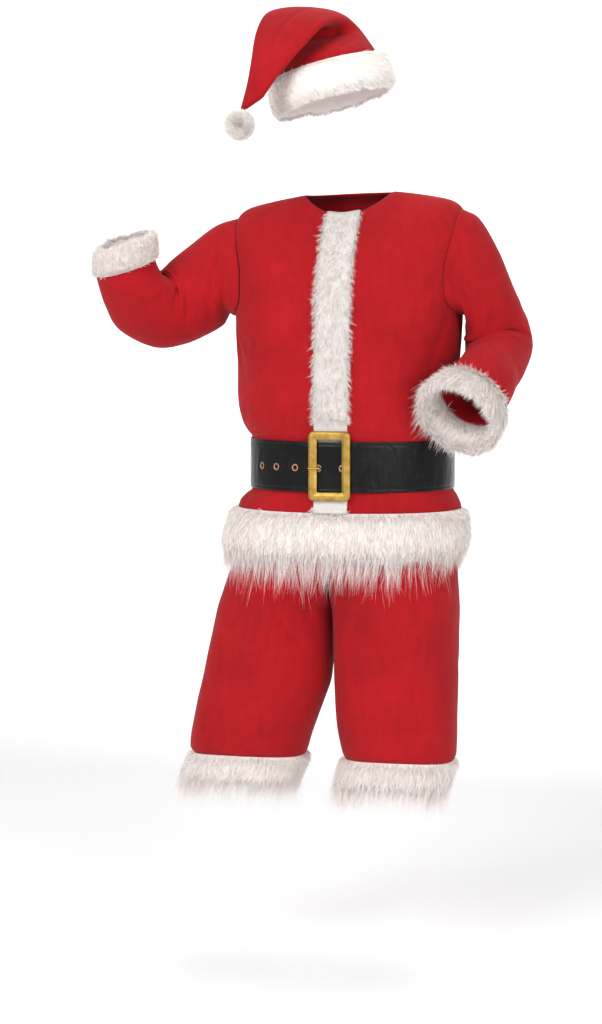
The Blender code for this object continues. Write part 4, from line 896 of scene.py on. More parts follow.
def makeLeg(word):
    side = 1 if word == "left" else -1
    table = trousers["sections"]
    rows = np.arange((len(table) - 1) * trousers["perRow"] + 1) / trousers["perRow"]
    points, angle = legSurface(side, table, rows, trousers["columns"])
    closed = rows >= trousers["crotch"] - 1e-6
    around = np.gradient(points, axis=1)
    joined = points[:, 1] - points[:, -2]
    around[closed, 0] = around[closed, -1] = joined[closed]
    normal = unit(np.cross(np.gradient(points, axis=0), around))
    girth = trousers["girth"]
    a, z = angle * girth, points[..., 2]
    table = [(math.radians(c[0]) * girth, c[1], math.radians(c[2]) * girth, c[3], *c[4:])
             for c in trousers["creases"][word]]
    height = creases(a, z, table, 2 * math.pi * girth) + ripple(a, z, 0.0014, 41 + side)
    calm = smoothStep((z + 1.092) / 0.02) * smoothStep((-0.64 - z) / 0.05)
    inseam = np.minimum(np.arange(angle.shape[1]), np.arange(angle.shape[1])[::-1])[None, :] / 3.0
    height = height * calm * np.where(closed[:, None], 1, smoothStep(inseam))
    points = points + normal * height[..., None]
    inner = points - normal * trousers["cloth"]
    index = gridNumbers(*points.shape[:2])
    index[closed, -1] = index[closed, 0]
    piece = wall("trouserLeg" + word.capitalize(), points, inner, gridQuads(index), redPlush)
    place(piece, "red_plush", "trouser_leg_" + word)
    return points[-1, :-1]


legEnds = {"right": makeLeg("right"), "left": makeLeg("left")}
print("trousers made")

# hat
hat = {
    "cloth": 0.0022, "columns": 104, "perRow": 6,
    "names": ("x", "y", "z", "halfWidth", "halfDepth", "roll", "pitch"),
    "sections": np.array((
        (-0.045, 0.004, 0.236, 0.107, 0.114, 15, 0), (-0.050, 0.005, 0.258, 0.098, 0.108, 15, 0),
        (-0.056, 0.006, 0.280, 0.090, 0.092, 13, 3), (-0.062, 0.004, 0.303, 0.083, 0.067, 9, 12),
        (-0.069, -0.006, 0.325, 0.079, 0.043, 0, 35), (-0.076, -0.026, 0.339, 0.076, 0.026, -4, 68),
        (-0.081, -0.054, 0.340, 0.074, 0.018, -5, 95), (-0.088, -0.084, 0.329, 0.070, 0.015, -1, 125),
        (-0.096, -0.110, 0.307, 0.067, 0.014, 8, 148), (-0.107, -0.131, 0.271, 0.059, 0.014, 17, 162),
        (-0.122, -0.145, 0.235, 0.048, 0.014, 24, 170), (-0.140, -0.154, 0.200, 0.035, 0.013, 27, 174),
        (-0.154, -0.160, 0.170, 0.026, 0.012, 28, 176))),
    "tip": (-0.1660, -0.163, 0.1570), "radius": 0.075,
    # creases: degrees round (270 in front of the crown) and row, from and to; depth, width, bow
    "creases": ((292, 3.6, 322, 5.2, 0.0060, 0.010, 0.003), (300, 1.2, 335, 3.2, 0.0030, 0.012, 0.004),
                (250, 1.0, 275, 2.6, 0.0028, 0.012, -0.004), (200, 0.8, 215, 2.6, 0.0030, 0.012, 0.004),
                (150, 0.8, 130, 2.8, 0.0034, 0.013, 0.005), (60, 0.8, 80, 2.8, 0.0034, 0.013, -0.005),
                (10, 0.8, 20, 2.6, 0.0030, 0.012, 0.004), (80, 6.2, 110, 9.5, 0.0026, 0.010, 0.004),
                (250, 5.2, 262, 8.0, 0.0024, 0.010, -0.003)),
}


def makeHatCrown():
    rows = np.arange((len(hat["sections"]) - 1) * hat["perRow"] + 1) / hat["perRow"]
    part = dict(zip(hat["names"], roundRows(hat["sections"], rows).T[..., None]))
    angle = np.linspace(0, 2 * math.pi, hat["columns"], endpoint=False)
    roll, pitch = np.radians(part["roll"]), np.radians(part["pitch"])
    zero, one = np.zeros_like(roll), np.ones_like(roll)
    wide = np.concatenate((np.cos(roll), zero, np.sin(roll)), axis=1)[:, None]
    upright = np.concatenate((-np.sin(roll), zero, np.cos(roll)), axis=1)
    deep = np.cos(pitch) * np.concatenate((zero, one, zero), axis=1) + np.sin(pitch) * upright
    middle = np.concatenate((part["x"], part["y"], part["z"]), axis=1)[:, None]
    rings = (middle + (part["halfWidth"] * np.cos(angle))[..., None] * wide
             + (part["halfDepth"] * np.sin(angle))[..., None] * deep[:, None])
    normal = tubeNormals(rings)
    radius = hat["radius"]
    centres = rings.mean(axis=1)
    travelled = np.concatenate(([0], np.cumsum(np.linalg.norm(np.diff(centres, axis=0), axis=1))))
    first = np.interp([c[1] for c in hat["creases"]], rows, travelled)
    last = np.interp([c[3] for c in hat["creases"]], rows, travelled)
    table = [(math.radians(c[0]) * radius, a, math.radians(c[2]) * radius, b, *c[4:])
             for c, a, b in zip(hat["creases"], first, last)]
    a, b = (angle * radius)[None, :], travelled[:, None]
    height = creases(a, b, table, 2 * math.pi * radius) + ripple(a, b, 0.0012, 51)
    height = height * smoothStep(travelled / 0.02)[:, None] * smoothStep((10.5 - rows) / 2)[:, None]
    outer = rings + normal * height[..., None]
    inner = outer - normal * hat["cloth"]
    tip = np.broadcast_to(np.array(hat["tip"]), (1,) + outer.shape[1:])
    innerTip = tip + unit(centres[-1] - tip[0, 0]) * hat["cloth"]
    index = gridNumbers(len(outer) + 1, hat["columns"], roundColumns=True)
    index[-1, :] = index[-1, 0]
    piece = wall("hatCrown", np.concatenate((outer, tip)), np.concatenate((inner, innerTip)),
                 gridQuads(index), hatPlush)
    place(piece, "red_plush", "hat_crown")
    return rings[0]


hatSeam = makeHatCrown()
print("hat crown made")

# fur trims
# "outline" gives a trim's section: how far along the pile and how far out of the seam's loop.
# "pile" is the short dense hair all over it and "wisps" the long thin hair of its free edge;
# "roots" is the part of the outline, counted by points, that each grows from.
denseHair = {"lock": 5, "lockSpread": 0.13, "spread": 0.15, "stray": 0.12, "lift": 0.26, "hang": 0.8,
             "droop": (0.0, 0.0, -0.35), "outEnd": 0.04, "lengths": (0.6, 1.25), "clump": 0.12,
             "segments": 2, "taper": (0.9, 1.0)}
longHair = {"lock": 9, "lockSpread": 0.14, "spread": 0.08, "stray": 0.2, "lift": 0.08, "hang": 0.6,
            "droop": (0.0, 0.0, -0.7), "outEnd": 0.0, "lengths": (0.2, 1.3), "clump": 0.5,
            "segments": 5, "taper": (0.9, 1.0, 0.9, 0.7, 0.45)}
trims = {
    "hem": {"outline": ((0.0, 0.0), (0.008, 0.010), (0.030, 0.018), (0.056, 0.0225), (0.076, 0.0200),
                        (0.085, 0.010), (0.056, 0.003), (0.020, -0.001), (0.0, -0.0022)),
            "growths": (("Pile", 25000, 0.015, 0.00050, (0.05, 5.0), denseHair),
                        ("Wisps", 9000, 0.066, 0.00017, (3.6, 5.2), {**longHair, "backRoom": 0.182}))},
    "cuffRight": {"outline": ((0.0, 0.0), (0.005, 0.003), (0.022, 0.0045), (0.040, 0.0040), (0.049, -0.001),
                              (0.044, -0.006), (0.018, -0.006), (0.0, -0.0022)),
                  "growths": (("Pile", 13000, 0.0105, 0.00042, (0.1, 5.6),
                               {**denseHair, "droop": (0.0, 0.0, -0.05), "lift": 0.55, "spread": 0.24, "clump": 0.15}),)},
    "cuffLeft": {"outline": ((0.0, 0.0), (0.006, 0.006), (0.026, 0.0135), (0.050, 0.0175), (0.062, 0.012),
                             (0.050, 0.002), (0.020, -0.004), (0.0, -0.0022)),
                 "growths": (("Pile", 19000, 0.016, 0.00045, (0.1, 7.3),
                              {**denseHair, "droop": (0.0, 0.0, -0.10), "lift": 0.50, "spread": 0.22}),
                             ("Wisps", 3000, 0.036, 0.00020, (1.0, 3.2),
                              {**longHair, "droop": (0.0, 0.0, -0.55), "lift": 0.35, "lock": 7}))},
    "leg": {"outline": ((0.0, 0.0), (0.008, 0.005), (0.026, 0.0075), (0.044, 0.0070), (0.054, 0.001),
                        (0.044, -0.003), (0.020, -0.004), (0.0, -0.0022)),
            "growths": (("Pile", 13000, 0.015, 0.00048, (0.05, 5.2), denseHair),
                        ("Wisps", 7000, 0.072, 0.00018, (2.8, 4.9), longHair))},
    "hatBand": {"outline": ((-0.012, 0.004), (-0.008, 0.008), (0.012, 0.0135), (0.034, 0.0150), (0.045, 0.0105),
                            (0.051, 0.003), (0.036, -0.001), (0.001, -0.0022), (0.001, 0.0014)),
                "growths": (("Pile", 18000, 0.0125, 0.00042, (0.3, 5.3),
                             {**denseHair, "droop": (0.0, 0.0, -0.05), "comb": 1.1, "lift": 0.34}),)},
}


def evenLoop(loop, count):
    closed = np.concatenate((loop, loop[:1]))
    travelled = np.concatenate(([0], np.cumsum(np.linalg.norm(np.diff(closed, axis=0), axis=1))))
    at = np.linspace(0, travelled[-1], count, endpoint=False)
    return np.stack([np.interp(at, travelled, closed[:, k]) for k in range(3)], axis=-1), travelled[-1]


def outOfLoop(loop, along):
    around = unit(np.roll(loop, -1, axis=0) - np.roll(loop, 1, axis=0))
    out = unit(np.cross(around, np.broadcast_to(along, loop.shape)))
    return out * np.sign((out * (loop - loop.mean(axis=0))).sum())


def makeTrim(name, kind, node, loop, facing, flowWay, seed, count, lengthAt=None):
    # the base is the outline carried round the seam's loop, which faces one way while the pile
    # lies another; both growths of hair start on its outside
    spec = trims[kind]
    facing, along = unit(np.asarray(facing, float)), unit(np.asarray(flowWay, float))
    loop, girth = evenLoop(loop, count)
    out = outOfLoop(loop, facing)
    outline = np.array(spec["outline"])
    steps = np.linspace(0, len(outline) - 1, (len(outline) - 1) * 4 + 1)
    section = smoothRows(outline, steps)
    rng = np.random.default_rng(seed)
    wave = np.convolve(np.tile(rng.normal(0, 1, count), 3), np.hanning(7), "same")[count:2 * count] * 0.0010
    low = smoothStep(section[:, 0] / outline[:, 0].max())
    reach = section[None, :, 0] + wave[:, None] * low[None, :] * 1.2
    swell = section[None, :, 1] + wave[:, None] * 0.6 * low[None, :]
    points = (loop[:, None] + jacket["seam"] * facing + reach[..., None] * along
              + swell[..., None] * out[:, None])
    index = gridNumbers(*points.shape[:2], roundColumns=True, roundRows_=True)
    uvU = np.linspace(0, girth, count, endpoint=False)[:, None]
    uv = np.stack(np.broadcast_arrays(uvU, section[None, :, 0]), axis=-1)
    # the hat band's base takes the brighter copy of the fur: painted light
    base = solidGrid(name, points, index, hatUnderfurPaintedLight if kind == "hatBand" else underfur, uv)
    place(base, "white_fur", node)

    for number, (word, strands, length, width, roots, hair) in enumerate(spec["growths"]):
        u, v = scatter(strands, seed + 1 + 3 * number, hair["lock"], (0.0022, 0.05))
        t = (roots[0] + v * (roots[1] - roots[0])) * 4
        column, row = u * count, t
        c0, r0 = np.floor(column).astype(int) % count, np.clip(np.floor(row).astype(int), 0, len(section) - 2)
        fc, fr = (column - np.floor(column))[:, None], (row - r0)[:, None]
        c1 = (c0 + 1) % count
        root = ((points[c0, r0] * (1 - fc) + points[c1, r0] * fc) * (1 - fr)
                + (points[c0, r0 + 1] * (1 - fc) + points[c1, r0 + 1] * fc) * fr)
        flow = unit(points[c0, r0 + 1] - points[c0, r0])
        around = unit(points[c1, r0] - points[c0, r0])
        outward = unit(np.cross(flow, around))
        outward *= np.sign((outward * out[c0]).sum(axis=1) + 0.35 * (outward @ along))[:, None]
        rolled = smoothStep((t / 4 - 4.0) / 0.8)[:, None]
        flow = unit(flow * (1 - rolled) + along * rolled)
        flow = unit(flow + around * hair.get("comb", 0.0))
        reach = np.full(len(root), length)
        if lengthAt is not None:
            reach = reach * lengthAt(root, word)
        growPile(name + word, root, outward, flow, reach, width, hair, seed + 2 + 3 * number,
                                hatPilePaintedLight if kind == "hatBand" else whitePile)
    # the strip is sewn on double, so its cut is as wide as half the outline's way round; that way round is measured
    # here and not used
    around = np.linalg.norm(np.diff(np.concatenate((outline, outline[:1])), axis=0), axis=1).sum()
    return base


def hemLength(root, word):
    # the long hair is longer in front and behind than at the sides
    return 1.0 if word == "Pile" else 0.62 + 0.5 * smoothStep(np.abs(root[:, 1]) / 0.14)


def makeTrims():
    angle = np.linspace(0, 2 * math.pi, 240, endpoint=False)
    hemLoop = torso(angle, np.full(len(angle), float(len(jacket["sections"]) - 1)))
    down = (0.0, 0.0, -1.0)
    makeTrim("furHem", "hem", "fur_hem", hemLoop, down, (-0.12, 0.0, -1.0), 61, 240, hemLength)
    loop, tangent = sleeveEnds["right"]
    makeTrim("furCuffRight", "cuffRight", "fur_cuff_right", loop, tangent, (0.04, -0.2, 0.98), 71, 96)
    loop, tangent = sleeveEnds["left"]
    makeTrim("furCuffLeft", "cuffLeft", "fur_cuff_left", loop, tangent, tangent, 74, 96)
    makeTrim("furLegRight", "leg", "fur_leg_right", legEnds["right"], down, (-0.38, 0.0, -1.0), 81, 120)
    makeTrim("furLegLeft", "leg", "fur_leg_left", legEnds["left"], down, (-0.28, 0.0, -1.0), 87, 120)
    roll = math.radians(hat["sections"][0, 5])
    downHat = (math.sin(roll), 0.0, -math.cos(roll))
    makeTrim("hatBand", "hatBand", "hat_band", hatSeam, downHat, downHat, 94, 140)


makeTrims()
print("ring trims made")

# the fur band down the centre front
frontBand = {"halfWidth": 0.0325, "pile": 0.0075, "underBelt": 0.0020, "columns": 20, "strands": 16000,
             "length": 0.014, "width": 0.0004,
             "hair": {**denseHair, "lift": 0.22, "lock": 5, "clump": 0.12}}


def bandSkin(across, row):
    # a strip of constant width on the jacket's own rows, pressed flat under belt and buckle
    values = dict(zip(jacket["columns"], smoothRows(jacket["sections"], row.ravel()).T.reshape((-1,) + row.shape)))
    reach = (across * frontBand["halfWidth"] - values["shift"]) / values["halfWidth"]
    angle = -math.pi / 2 + np.sign(reach) * np.arcsin(np.abs(reach) ** (values["square"] / 2))
    surface, normal = jacketSkin(angle, row)
    z = surface[..., 2]
    free = smoothStep((z - jacket["beltTop"] - 0.024) / 0.03)
    free = np.maximum(free, smoothStep((jacket["beltBottom"] - 0.020 - z) / 0.02))
    thick = frontBand["underBelt"] + (frontBand["pile"] - frontBand["underBelt"]) * free
    return surface + normal * jacket["seam"], normal, thick * (1 - 0.55 * np.abs(across) ** 5), free


def makeFrontBand():
    rows = jacketRows()
    across = np.linspace(-1, 1, frontBand["columns"] + 1)
    across = np.sign(across) * np.abs(across) ** 0.8
    grid, row = np.meshgrid(across, rows)
    inner, normal, thick, free = bandSkin(grid, row)
    outer = inner + normal * thick[..., None]
    outer[-1, :, 2] = inner[-1, :, 2]
    travelled = np.concatenate(([0], np.cumsum(np.linalg.norm(np.diff(outer[:, 10], axis=0), axis=1))))
    uv = np.stack((grid * frontBand["halfWidth"], np.broadcast_to(travelled[:, None], grid.shape)), axis=-1)
    # the front band's base and pile take the darker copies of the fur: painted shade
    base = wall("furFrontBand", outer, inner, gridQuads(gridNumbers(*grid.shape)), bandUnderfurPaintedShade, uv)
    place(base, "white_fur", "fur_front_band")
    u, v = scatter(frontBand["strands"], 101, 8, (0.03, 0.004))
    order = np.interp(v * travelled[-1], travelled, rows)
    spread = np.clip(u * 2.06 - 1.03, -1, 1)
    root, out, thickAt, freeAt = bandSkin(spread, order)
    ahead, _, _, _ = bandSkin(spread, np.clip(order + 0.05, 0, rows[-1]))
    flow = unit(ahead - root + np.array((1.0, 0, 0)) * (spread ** 5 * 0.003)[:, None])
    root = root + out * (thickAt * 0.8)[:, None]
    inside = freeAt > 0.25
    keep = np.nonzero(inside)[0]
    keep = keep[:len(keep) // 8 * 8]
    length = frontBand["length"] * (0.55 + 0.45 * freeAt[keep])
    pile = growPile("furFrontBandPile", root[keep], out[keep], flow[keep], length, frontBand["width"],
                    frontBand["hair"], 103, bandPile)


makeFrontBand()

pompom = {"radius": 0.029, "centre": (-0.1763, -0.1677, 0.1299), "strands": 9000, "length": 0.0095, "width": 0.00045,
          "hair": {"lock": 6, "lockSpread": 0.16, "spread": 0.16, "stray": 0.08, "lift": 1.0, "hang": 0.2,
                   "droop": (0.0, 0.0, -0.1), "outEnd": 1.0, "lengths": (0.8, 1.1), "clump": 0.2,
                   "segments": 3, "taper": (0.9, 1.0, 0.8)}}


def makePompom():
    # a ball with a seeded uneven radius, and tufts that stand out of it all over
    rings, columns = 24, 40
    lat, lon = np.linspace(0, math.pi, rings + 2)[1:-1, None], np.linspace(0, 2 * math.pi, columns, endpoint=False)
    centre = np.array(pompom["centre"])
    core = pompom["radius"] - pompom["length"] * 0.75
    bulge = core * (1 + 0.03 * np.sin(5 * lon + 2 * lat) * np.sin(3 * lat))
    ball = np.stack((np.sin(lat) * np.cos(lon), np.sin(lat) * np.sin(lon), np.cos(lat) + 0 * lon), axis=-1)
    points = ball * bulge[..., None]
    top = np.broadcast_to((0, 0, core), (1, columns, 3))
    points = np.concatenate((top, points, -top)) + centre
    index = gridNumbers(rings + 2, columns, roundColumns=True)
    index[0, :], index[-1, :] = index[0, 0], index[-1, 0]
    uv = np.stack(np.broadcast_arrays(lon[None, :] * core, np.linspace(0, 0.09, rings + 2)[:, None]), axis=-1)
    # the pompom takes the brighter copy of the fur: painted light
    base = place(solidGrid("hatPompom", points, index, hatUnderfurPaintedLight, uv), "white_fur", "hat_pompom")
    rng = np.random.default_rng(111)
    perLock = pompom["hair"]["lock"]
    locks = unit(rng.normal(0, 1, (pompom["strands"] // perLock, 3)))
    direction = unit(np.repeat(locks, perLock, axis=0) + rng.normal(0, 0.09, (len(locks) * perLock, 3)))
    root = centre + direction * core
    pile = growPile("hatPompomPile", root, direction, direction, np.full(len(root), pompom["length"]),
                    pompom["width"], pompom["hair"], 112, hatPilePaintedLight)
    return base, pile


makePompom()
print("front band and pompom made")

# belt
belt = {
    "thickness": 0.0022, "endAngle": 34.0, "tipAngle": 7.0, "edgeStrip": 0.006, "eyeletZ": -0.5150,
    "eyeletArcs": (0.0185, -0.0285, -0.0765, -0.1205, -0.1625), "eyeletRadius": 0.0058, "holeRadius": 0.0045,
    "bandPile": 0.0025, "steps": 420, "heights": 34,
    # upright creases of the soft vinyl: degrees past the front along the strap, depth, width
    "creases": ((333, 0.0009, 2.6), (322, -0.0006, 2.0), (309, 0.0009, 3.0), (366, -0.0007, 2.2), (352, 0.0006, 1.8),
                (371, 0.0009, 2.4), (381, -0.0008, 2.6), (20, 0.0008, 2.4), (31, -0.0009, 3.0), (48, 0.0010, 3.2),
                (66, -0.0008, 3.0), (92, 0.0010, 3.6), (120, -0.0009, 3.0), (151, 0.0010, 3.4), (180, -0.0009, 3.2),
                (212, 0.0010, 3.6), (240, -0.0008, 3.0), (268, 0.0010, 3.2), (290, -0.0008, 2.6)),
}
buckle = {"z": -0.5105, "width": 0.081, "height": 0.132, "bar": 0.0165, "depth": 0.0055, "corner": 0.011,
          "prong": 0.0019}


def beltLine(turn):
    turn = np.asarray(turn, float)
    angle = np.radians(turn - 90.0)
    middle = np.full(angle.shape, rowAtBelt(buckle["z"]))
    point, normal = torso(angle, middle), torsoNormal(angle, middle)
    overBand = smoothStep((26.0 - np.abs(angleApart(turn, 0.0))) / 14.0) * belt["bandPile"]
    layer = smoothStep((turn - 250.0) / 90.0) * (belt["thickness"] + jacket["seam"])
    flat = unit(normal * np.array((1.0, 1.0, 0.0)))
    return point + flat * (2 * jacket["seam"] + overBand + layer)[..., None], flat


def turnOfArc(arc):
    turns = np.linspace(285.0, 390.0, 400)
    points, _ = beltLine(turns)
    travelled = np.concatenate(([0], np.cumsum(np.linalg.norm(np.diff(points, axis=0), axis=1))))
    return np.interp(arc, travelled - np.interp(360.0, turns, travelled), turns)


def strapFace(arc):
    turn = float(turnOfArc(arc))
    point, out = beltLine(np.array([turn - 1.0, turn, turn + 1.0]))
    face = point + out * belt["thickness"]
    ahead = unit(face[2] - face[0])
    return face[1], np.array((ahead[1], -ahead[0], 0.0))


def punchedGrid(columns, heights, holes, radius, rings):
    # a grid of (turn, height) with round holes: the cells of a block round each hole are left
    # out, and rings of quads lead from the block's edge to the circle. "columns" holds the
    # block edges; holes is a list of (turn, height, metres for a degree)
    grid = np.stack(np.meshgrid(columns, heights, indexing="ij"), axis=-1)
    index = gridNumbers(len(columns), len(heights))
    points, keep, extra = [grid.reshape(-1, 2)], np.ones((len(columns) - 1, len(heights) - 1), bool), []
    count = grid.shape[0] * grid.shape[1]
    for turn, height, scale in holes:
        reach = radius * 1.7
        c0 = int(np.argmin(np.abs(columns - (turn - reach / scale))))
        c1 = int(np.argmin(np.abs(columns - (turn + reach / scale))))
        h0 = int(np.argmin(np.abs(heights - (height - reach))))
        h1 = int(np.argmin(np.abs(heights - (height + reach))))
        keep[c0:c1, h0:h1] = False
        edge = np.concatenate((index[c0:c1, h0], index[c1, h0:h1], index[c1:c0:-1, h1], index[c0, h1:h0:-1]))
        at = grid.reshape(-1, 2)[edge] - (turn, height)
        bearing = np.arctan2(at[:, 1], at[:, 0] * scale)
        circle = np.stack((np.cos(bearing) * radius / scale, np.sin(bearing) * radius), axis=-1)
        share = (np.arange(1, rings + 1) / rings)[:, None, None]
        ringPoints = (turn, height) + at * (1 - share) + circle * share
        numbers = np.concatenate((edge[None], count + np.arange(rings * len(edge)).reshape(rings, -1)))
        numbers = np.concatenate((numbers, numbers[:, :1]), axis=1)
        extra.append(gridQuads(numbers.T))
        points.append(ringPoints.reshape(-1, 2))
        count += rings * len(edge)
    quads = gridQuads(index).reshape(len(columns) - 1, len(heights) - 1, 4)[keep]
    return np.concatenate(points), [quads] + extra


def makeStrap():
    # the strap's own spiral with soft upright creases, bound edges and punched holes
    last = 360.0 + belt["endAngle"]
    turns = [float(turnOfArc(arc)) for arc in belt["eyeletArcs"]]
    scale = float(np.linalg.norm(beltLine(np.array([turns[1]]))[0] - beltLine(np.array([turns[1] + 1.0]))[0]))
    reach = belt["holeRadius"] * 1.7
    columns = np.linspace(2.0, last, belt["steps"])
    tipZone = last - belt["tipAngle"] * (1 - np.linspace(0, 1, 14)) ** 1.6
    columns = np.concatenate((columns[columns < last - belt["tipAngle"]], tipZone))
    for turn in turns:
        low, high = turn - reach / scale, turn + reach / scale
        columns = columns[(columns < low - 0.2) | (columns > high + 0.2)]
        columns = np.concatenate((columns, np.linspace(low, high, 9)))
    columns = np.sort(columns)
    top, bottom = jacket["beltTop"] - 0.001, jacket["beltBottom"] + 0.001
    strip = belt["edgeStrip"]
    heights = np.concatenate((bottom + np.array((0, 0.0006, 0.0018, strip * 0.6, strip - 0.0006, strip, strip + 0.0007, strip + 0.002)),
                              np.linspace(bottom + 0.012, belt["eyeletZ"] - reach - 0.003, 8),
                              np.linspace(belt["eyeletZ"] - reach, belt["eyeletZ"] + reach, 9),
                              np.linspace(belt["eyeletZ"] + reach + 0.003, top - 0.012, 9),
                              top - np.array((strip + 0.002, strip + 0.0007, strip, strip - 0.0006, strip * 0.6, 0.0018, 0.0006, 0))))
    holes = [(turn, belt["eyeletZ"], scale) for turn in turns]
    flat, quadSets = punchedGrid(columns, heights, holes, belt["holeRadius"], 3)
    turn, z = flat[:, 0], flat[:, 1]
    toEnd = (last - turn) / belt["tipAngle"]
    tip = np.sqrt(np.clip(1 - np.clip(1 - toEnd, 0, 1) ** 2, 0.16, 1))
    middleZ = (top + bottom) / 2
    fromEdge = np.minimum(top - z, z - bottom)
    z = middleZ + (z - middleZ) * tip
    inner, out = beltLine(turn)
    inner[:, 2] = z
    puff = np.zeros(len(turn))
    for at, depth, width in belt["creases"]:
        lean = (z - middleZ) * 30.0 * math.sin(at)
        puff += depth * np.exp(-((turn - at - lean) / width) ** 2) * (0.55 + 0.45 * np.sin(z * 60 + at))
    calm = smoothStep((fromEdge - 0.004) / 0.02)
    near = np.min([np.hypot((turn - t) * scale, z - belt["eyeletZ"]) for t in turns], axis=0)
    calm = calm * smoothStep((near - 0.008) / 0.012)
    underBuckle = smoothStep((np.abs(angleApart(turn, 0.0)) - 11.0) / 4.0)
    groove = 0.0006 * np.exp(-((fromEdge - strip) / 0.0009) ** 2)
    roundEdge = 0.0009 * (1 - smoothStep(fromEdge / 0.0022))
    lift = puff * calm * (0.35 + 0.65 * underBuckle)
    thick = belt["thickness"] - groove - roundEdge + np.clip(lift, -0.0006, None)
    outer = inner + out * thick[:, None]
    inner = inner + out * np.clip(roundEdge * 0.6, 0, None)[:, None]
    strap = wall("beltStrap", outer, inner, np.concatenate(quadSets), blackVinyl)
    place(strap, "black_vinyl", "belt_strap")


makeStrap()


def makeEyelets():
    # a rolled ring on the face and a short barrel down its hole, as one turned profile
    profile = np.array(((0.0045, -0.0021), (0.0045, -0.0004), (0.0048, 0.0006), (0.0056, 0.0011), (0.0066, 0.0008),
                        (0.0071, 0.0001), (0.0068, 0.0001), (0.0052, 0.0002), (0.0041, -0.0006), (0.0041, -0.0021)))
    around = np.linspace(0, 2 * math.pi, 36, endpoint=False)
    for number, arc in enumerate(belt["eyeletArcs"], start=1):
        point, out = strapFace(arc)
        centre = point + out * jacket["seam"]
        centre[2] = belt["eyeletZ"]
        side = np.array((-out[1], out[0], 0.0))
        points = (centre + np.cos(around)[:, None, None] * profile[None, :, :1] * side
                  + np.sin(around)[:, None, None] * profile[None, :, :1] * np.array((0, 0, 1.0))
                  + profile[None, :, 1:] * out)
        index = gridNumbers(*points.shape[:2], roundColumns=True, roundRows_=True)
        place(solidGrid(f"eyelet{number}", points, index, eyeletBrass), "eyelet_brass", f"belt_eyelet_{number}")


makeEyelets()


def buckleBack():
    first, _ = strapFace(belt["eyeletArcs"][0] - belt["eyeletRadius"])
    return first[1] - 2 * jacket["seam"] - 0.0012


def roundedRectangle(halfWidth, halfHeight, corner, steps):
    bearing = np.radians(np.linspace(0, 90, steps))
    quarter = np.arange(4)[:, None]
    angle = bearing[None, :] + quarter * math.pi / 2
    sx = np.array((1, -1, -1, 1))[:, None]
    sz = np.array((1, 1, -1, -1))[:, None]
    x = sx * (halfWidth - corner) + corner * np.cos(angle)
    z = sz * (halfHeight - corner) + corner * np.sin(angle)
    return np.stack((x.ravel(), z.ravel()), axis=-1)


def makeBuckle():
    # a bevelled frame: rounded rectangles of different inset and rise, joined ring to ring
    back, depth = buckleBack(), -buckle["depth"]
    halfWidth, halfHeight, bar = buckle["width"] / 2, buckle["height"] / 2, buckle["bar"]
    profile = ((0.0006, 0.0), (0.0, 0.10), (0.0, 0.50), (0.0006, 0.64), (0.0032, 0.95), (0.0042, 1.0),
               (bar - 0.0062, 1.0), (bar - 0.0052, 0.95), (bar - 0.0022, 0.62), (bar - 0.0003, 0.5), (bar, 0.40),
               (bar, 0.08), (bar - 0.0006, 0.0))
    rings = []
    for inset, rise in profile:
        corner = max(buckle["corner"] - inset, 0.0022)
        edge = roundedRectangle(halfWidth - inset, halfHeight - inset, corner, 12)
        rings.append(np.stack((edge[:, 0], np.full(len(edge), back + depth * rise), buckle["z"] + edge[:, 1]), axis=-1))
    points = np.array(rings)
    index = gridNumbers(*points.shape[:2], roundColumns=True, roundRows_=True)
    frameObj = solidGrid("beltBuckle", points, index, agedBrass)
    place(frameObj, "antique_brass", "belt_buckle")
    over = back - buckle["depth"] - jacket["seam"] - buckle["prong"]
    eyelet, _ = strapFace(belt["eyeletArcs"][1])
    near = eyelet[1] - 2.6 * buckle["prong"]
    innerBar = -(buckle["width"] / 2 - bar)
    knots = np.array(((innerBar + 0.0075, eyelet[1] - 0.0006), (innerBar + 0.0065, min(near, over - 0.0004)),
                      (innerBar + 0.001, over - 0.0004), (innerBar - 0.006, over), (-halfWidth - 0.001, over)))
    fine = roundRows(knots, np.linspace(0, len(knots) - 1, 33))
    centres = np.stack((fine[:, 0], fine[:, 1], np.full(33, belt["eyeletZ"])), axis=-1)
    radius = buckle["prong"] * np.interp(np.linspace(0, 1, 33), (0, 0.75, 0.94, 0.985, 1), (1.0, 0.98, 0.8, 0.55, 0.05))
    tangent = unit(np.gradient(centres, axis=0))
    up = np.array((0.0, 0.0, 1.0))
    across = unit(np.cross(tangent, up))
    angle = np.linspace(0, 2 * math.pi, 16, endpoint=False)
    points = (centres[:, None] + radius[:, None, None] * (np.cos(angle)[None, :, None] * across[:, None]
                                                          + np.sin(angle)[None, :, None] * up))
    points = np.concatenate((np.broadcast_to(centres[:1, None], (1, 16, 3)), points))
    index = gridNumbers(34, 16, roundColumns=True)
    index[0, :] = index[0, 0]
    last = np.full((1, 17), index[-1, 0])
    index = np.concatenate((index, last))
    place(solidGrid("beltProng", points, index, agedBrass), "antique_brass", "belt_prong")


makeBuckle()
print("belt made")

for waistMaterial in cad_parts["trouser_waistband"].material_slots:
    waistMaterial.material = redPlush

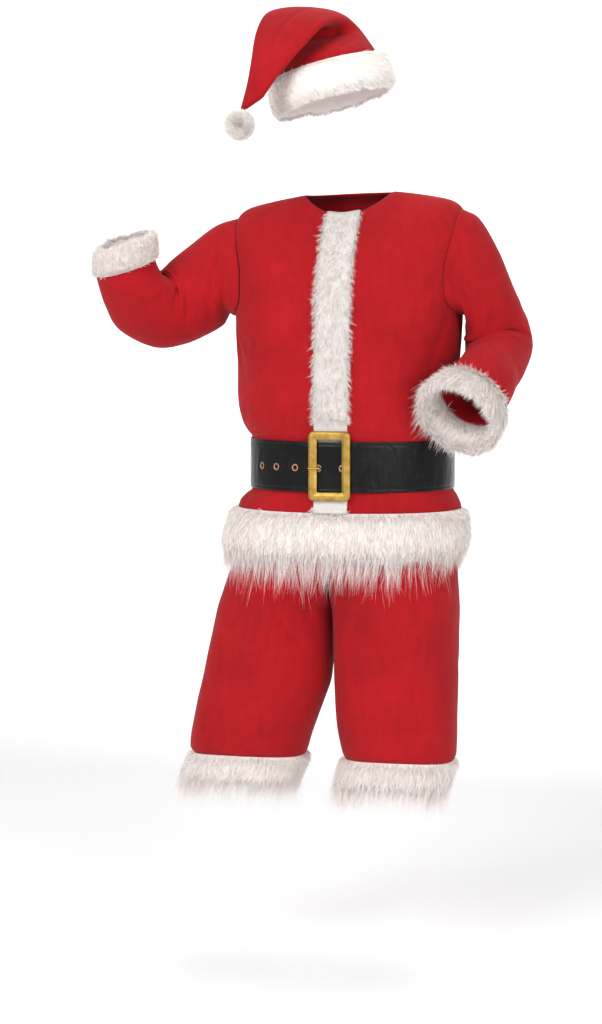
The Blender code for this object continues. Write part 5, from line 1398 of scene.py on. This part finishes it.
# floor and light
stage = {"floorZ": -1.512, "pale": (0.95, 0.95, 0.955)}


def makeStage():
    # a floor that turns up into a backdrop by a quarter circle
    steps = np.linspace(0, math.pi / 2, 24)
    radius, front, behind, height = 1.6, -9.0, 9.6, 8.0
    y = np.concatenate(([front], behind - radius + radius * np.sin(steps), [behind]))
    z = stage["floorZ"] + np.concatenate(([0], radius - radius * np.cos(steps), [height]))
    x = np.array((-12.0, 12.0))
    points = np.stack((np.broadcast_to(x[None, :], (len(y), 2)), np.broadcast_to(y[:, None], (len(y), 2)),
                       np.broadcast_to(z[:, None], (len(y), 2))), axis=-1)
    material, tree, shader = newMaterial("paleStage", stage["pale"], Roughness=0.9)
    shader.inputs["Base Color"].default_value = (*stage["pale"], 1)
    floor = setMesh("floor", points.reshape(-1, 3), gridQuads(gridNumbers(len(y), 2)), np.full(len(y) - 1, 4),
                    material)
    turn = math.radians(view["turn"])
    floor.rotation_euler = (0, 0, turn)


def softLight(name, energy, size, location, target):
    data = bpy.data.lights.new(name, "AREA")
    data.energy, data.shape, data.size, data.size_y = energy, "RECTANGLE", size[0], size[1]
    obj = bpy.data.objects.new(name, data)
    bpy.context.scene.collection.objects.link(obj)
    obj.location = location
    obj.rotation_euler = (Vector(target) - Vector(location)).to_track_quat("-Z", "Y").to_euler()


makeStage()
softLight("keyLight", 150.0, (2.4, 2.4), (-1.6, -4.2, 1.9), (-0.05, 0, -0.5))
softLight("fillLight", 95.0, (2.6, 2.6), (3.2, -3.6, 0.9), (-0.05, 0, -0.6))
softLight("topLight", 45.0, (2.4, 2.4), (0.2, 0.6, 2.9), (-0.05, 0, -0.5))
softLight("backdropLight", 480.0, (5.0, 2.0), (0.0, 2.8, 3.8), (0.0, 9.6, 2.4))
world = bpy.data.worlds.new("paleRoom")
world.use_nodes = True
world.node_tree.nodes["Background"].inputs[0].default_value = (1.0, 1.0, 1.0, 1)
world.node_tree.nodes["Background"].inputs[1].default_value = 0.55
bpy.context.scene.world = world
bpy.context.scene.view_settings.view_transform = "Standard"
print("stage and lights made")
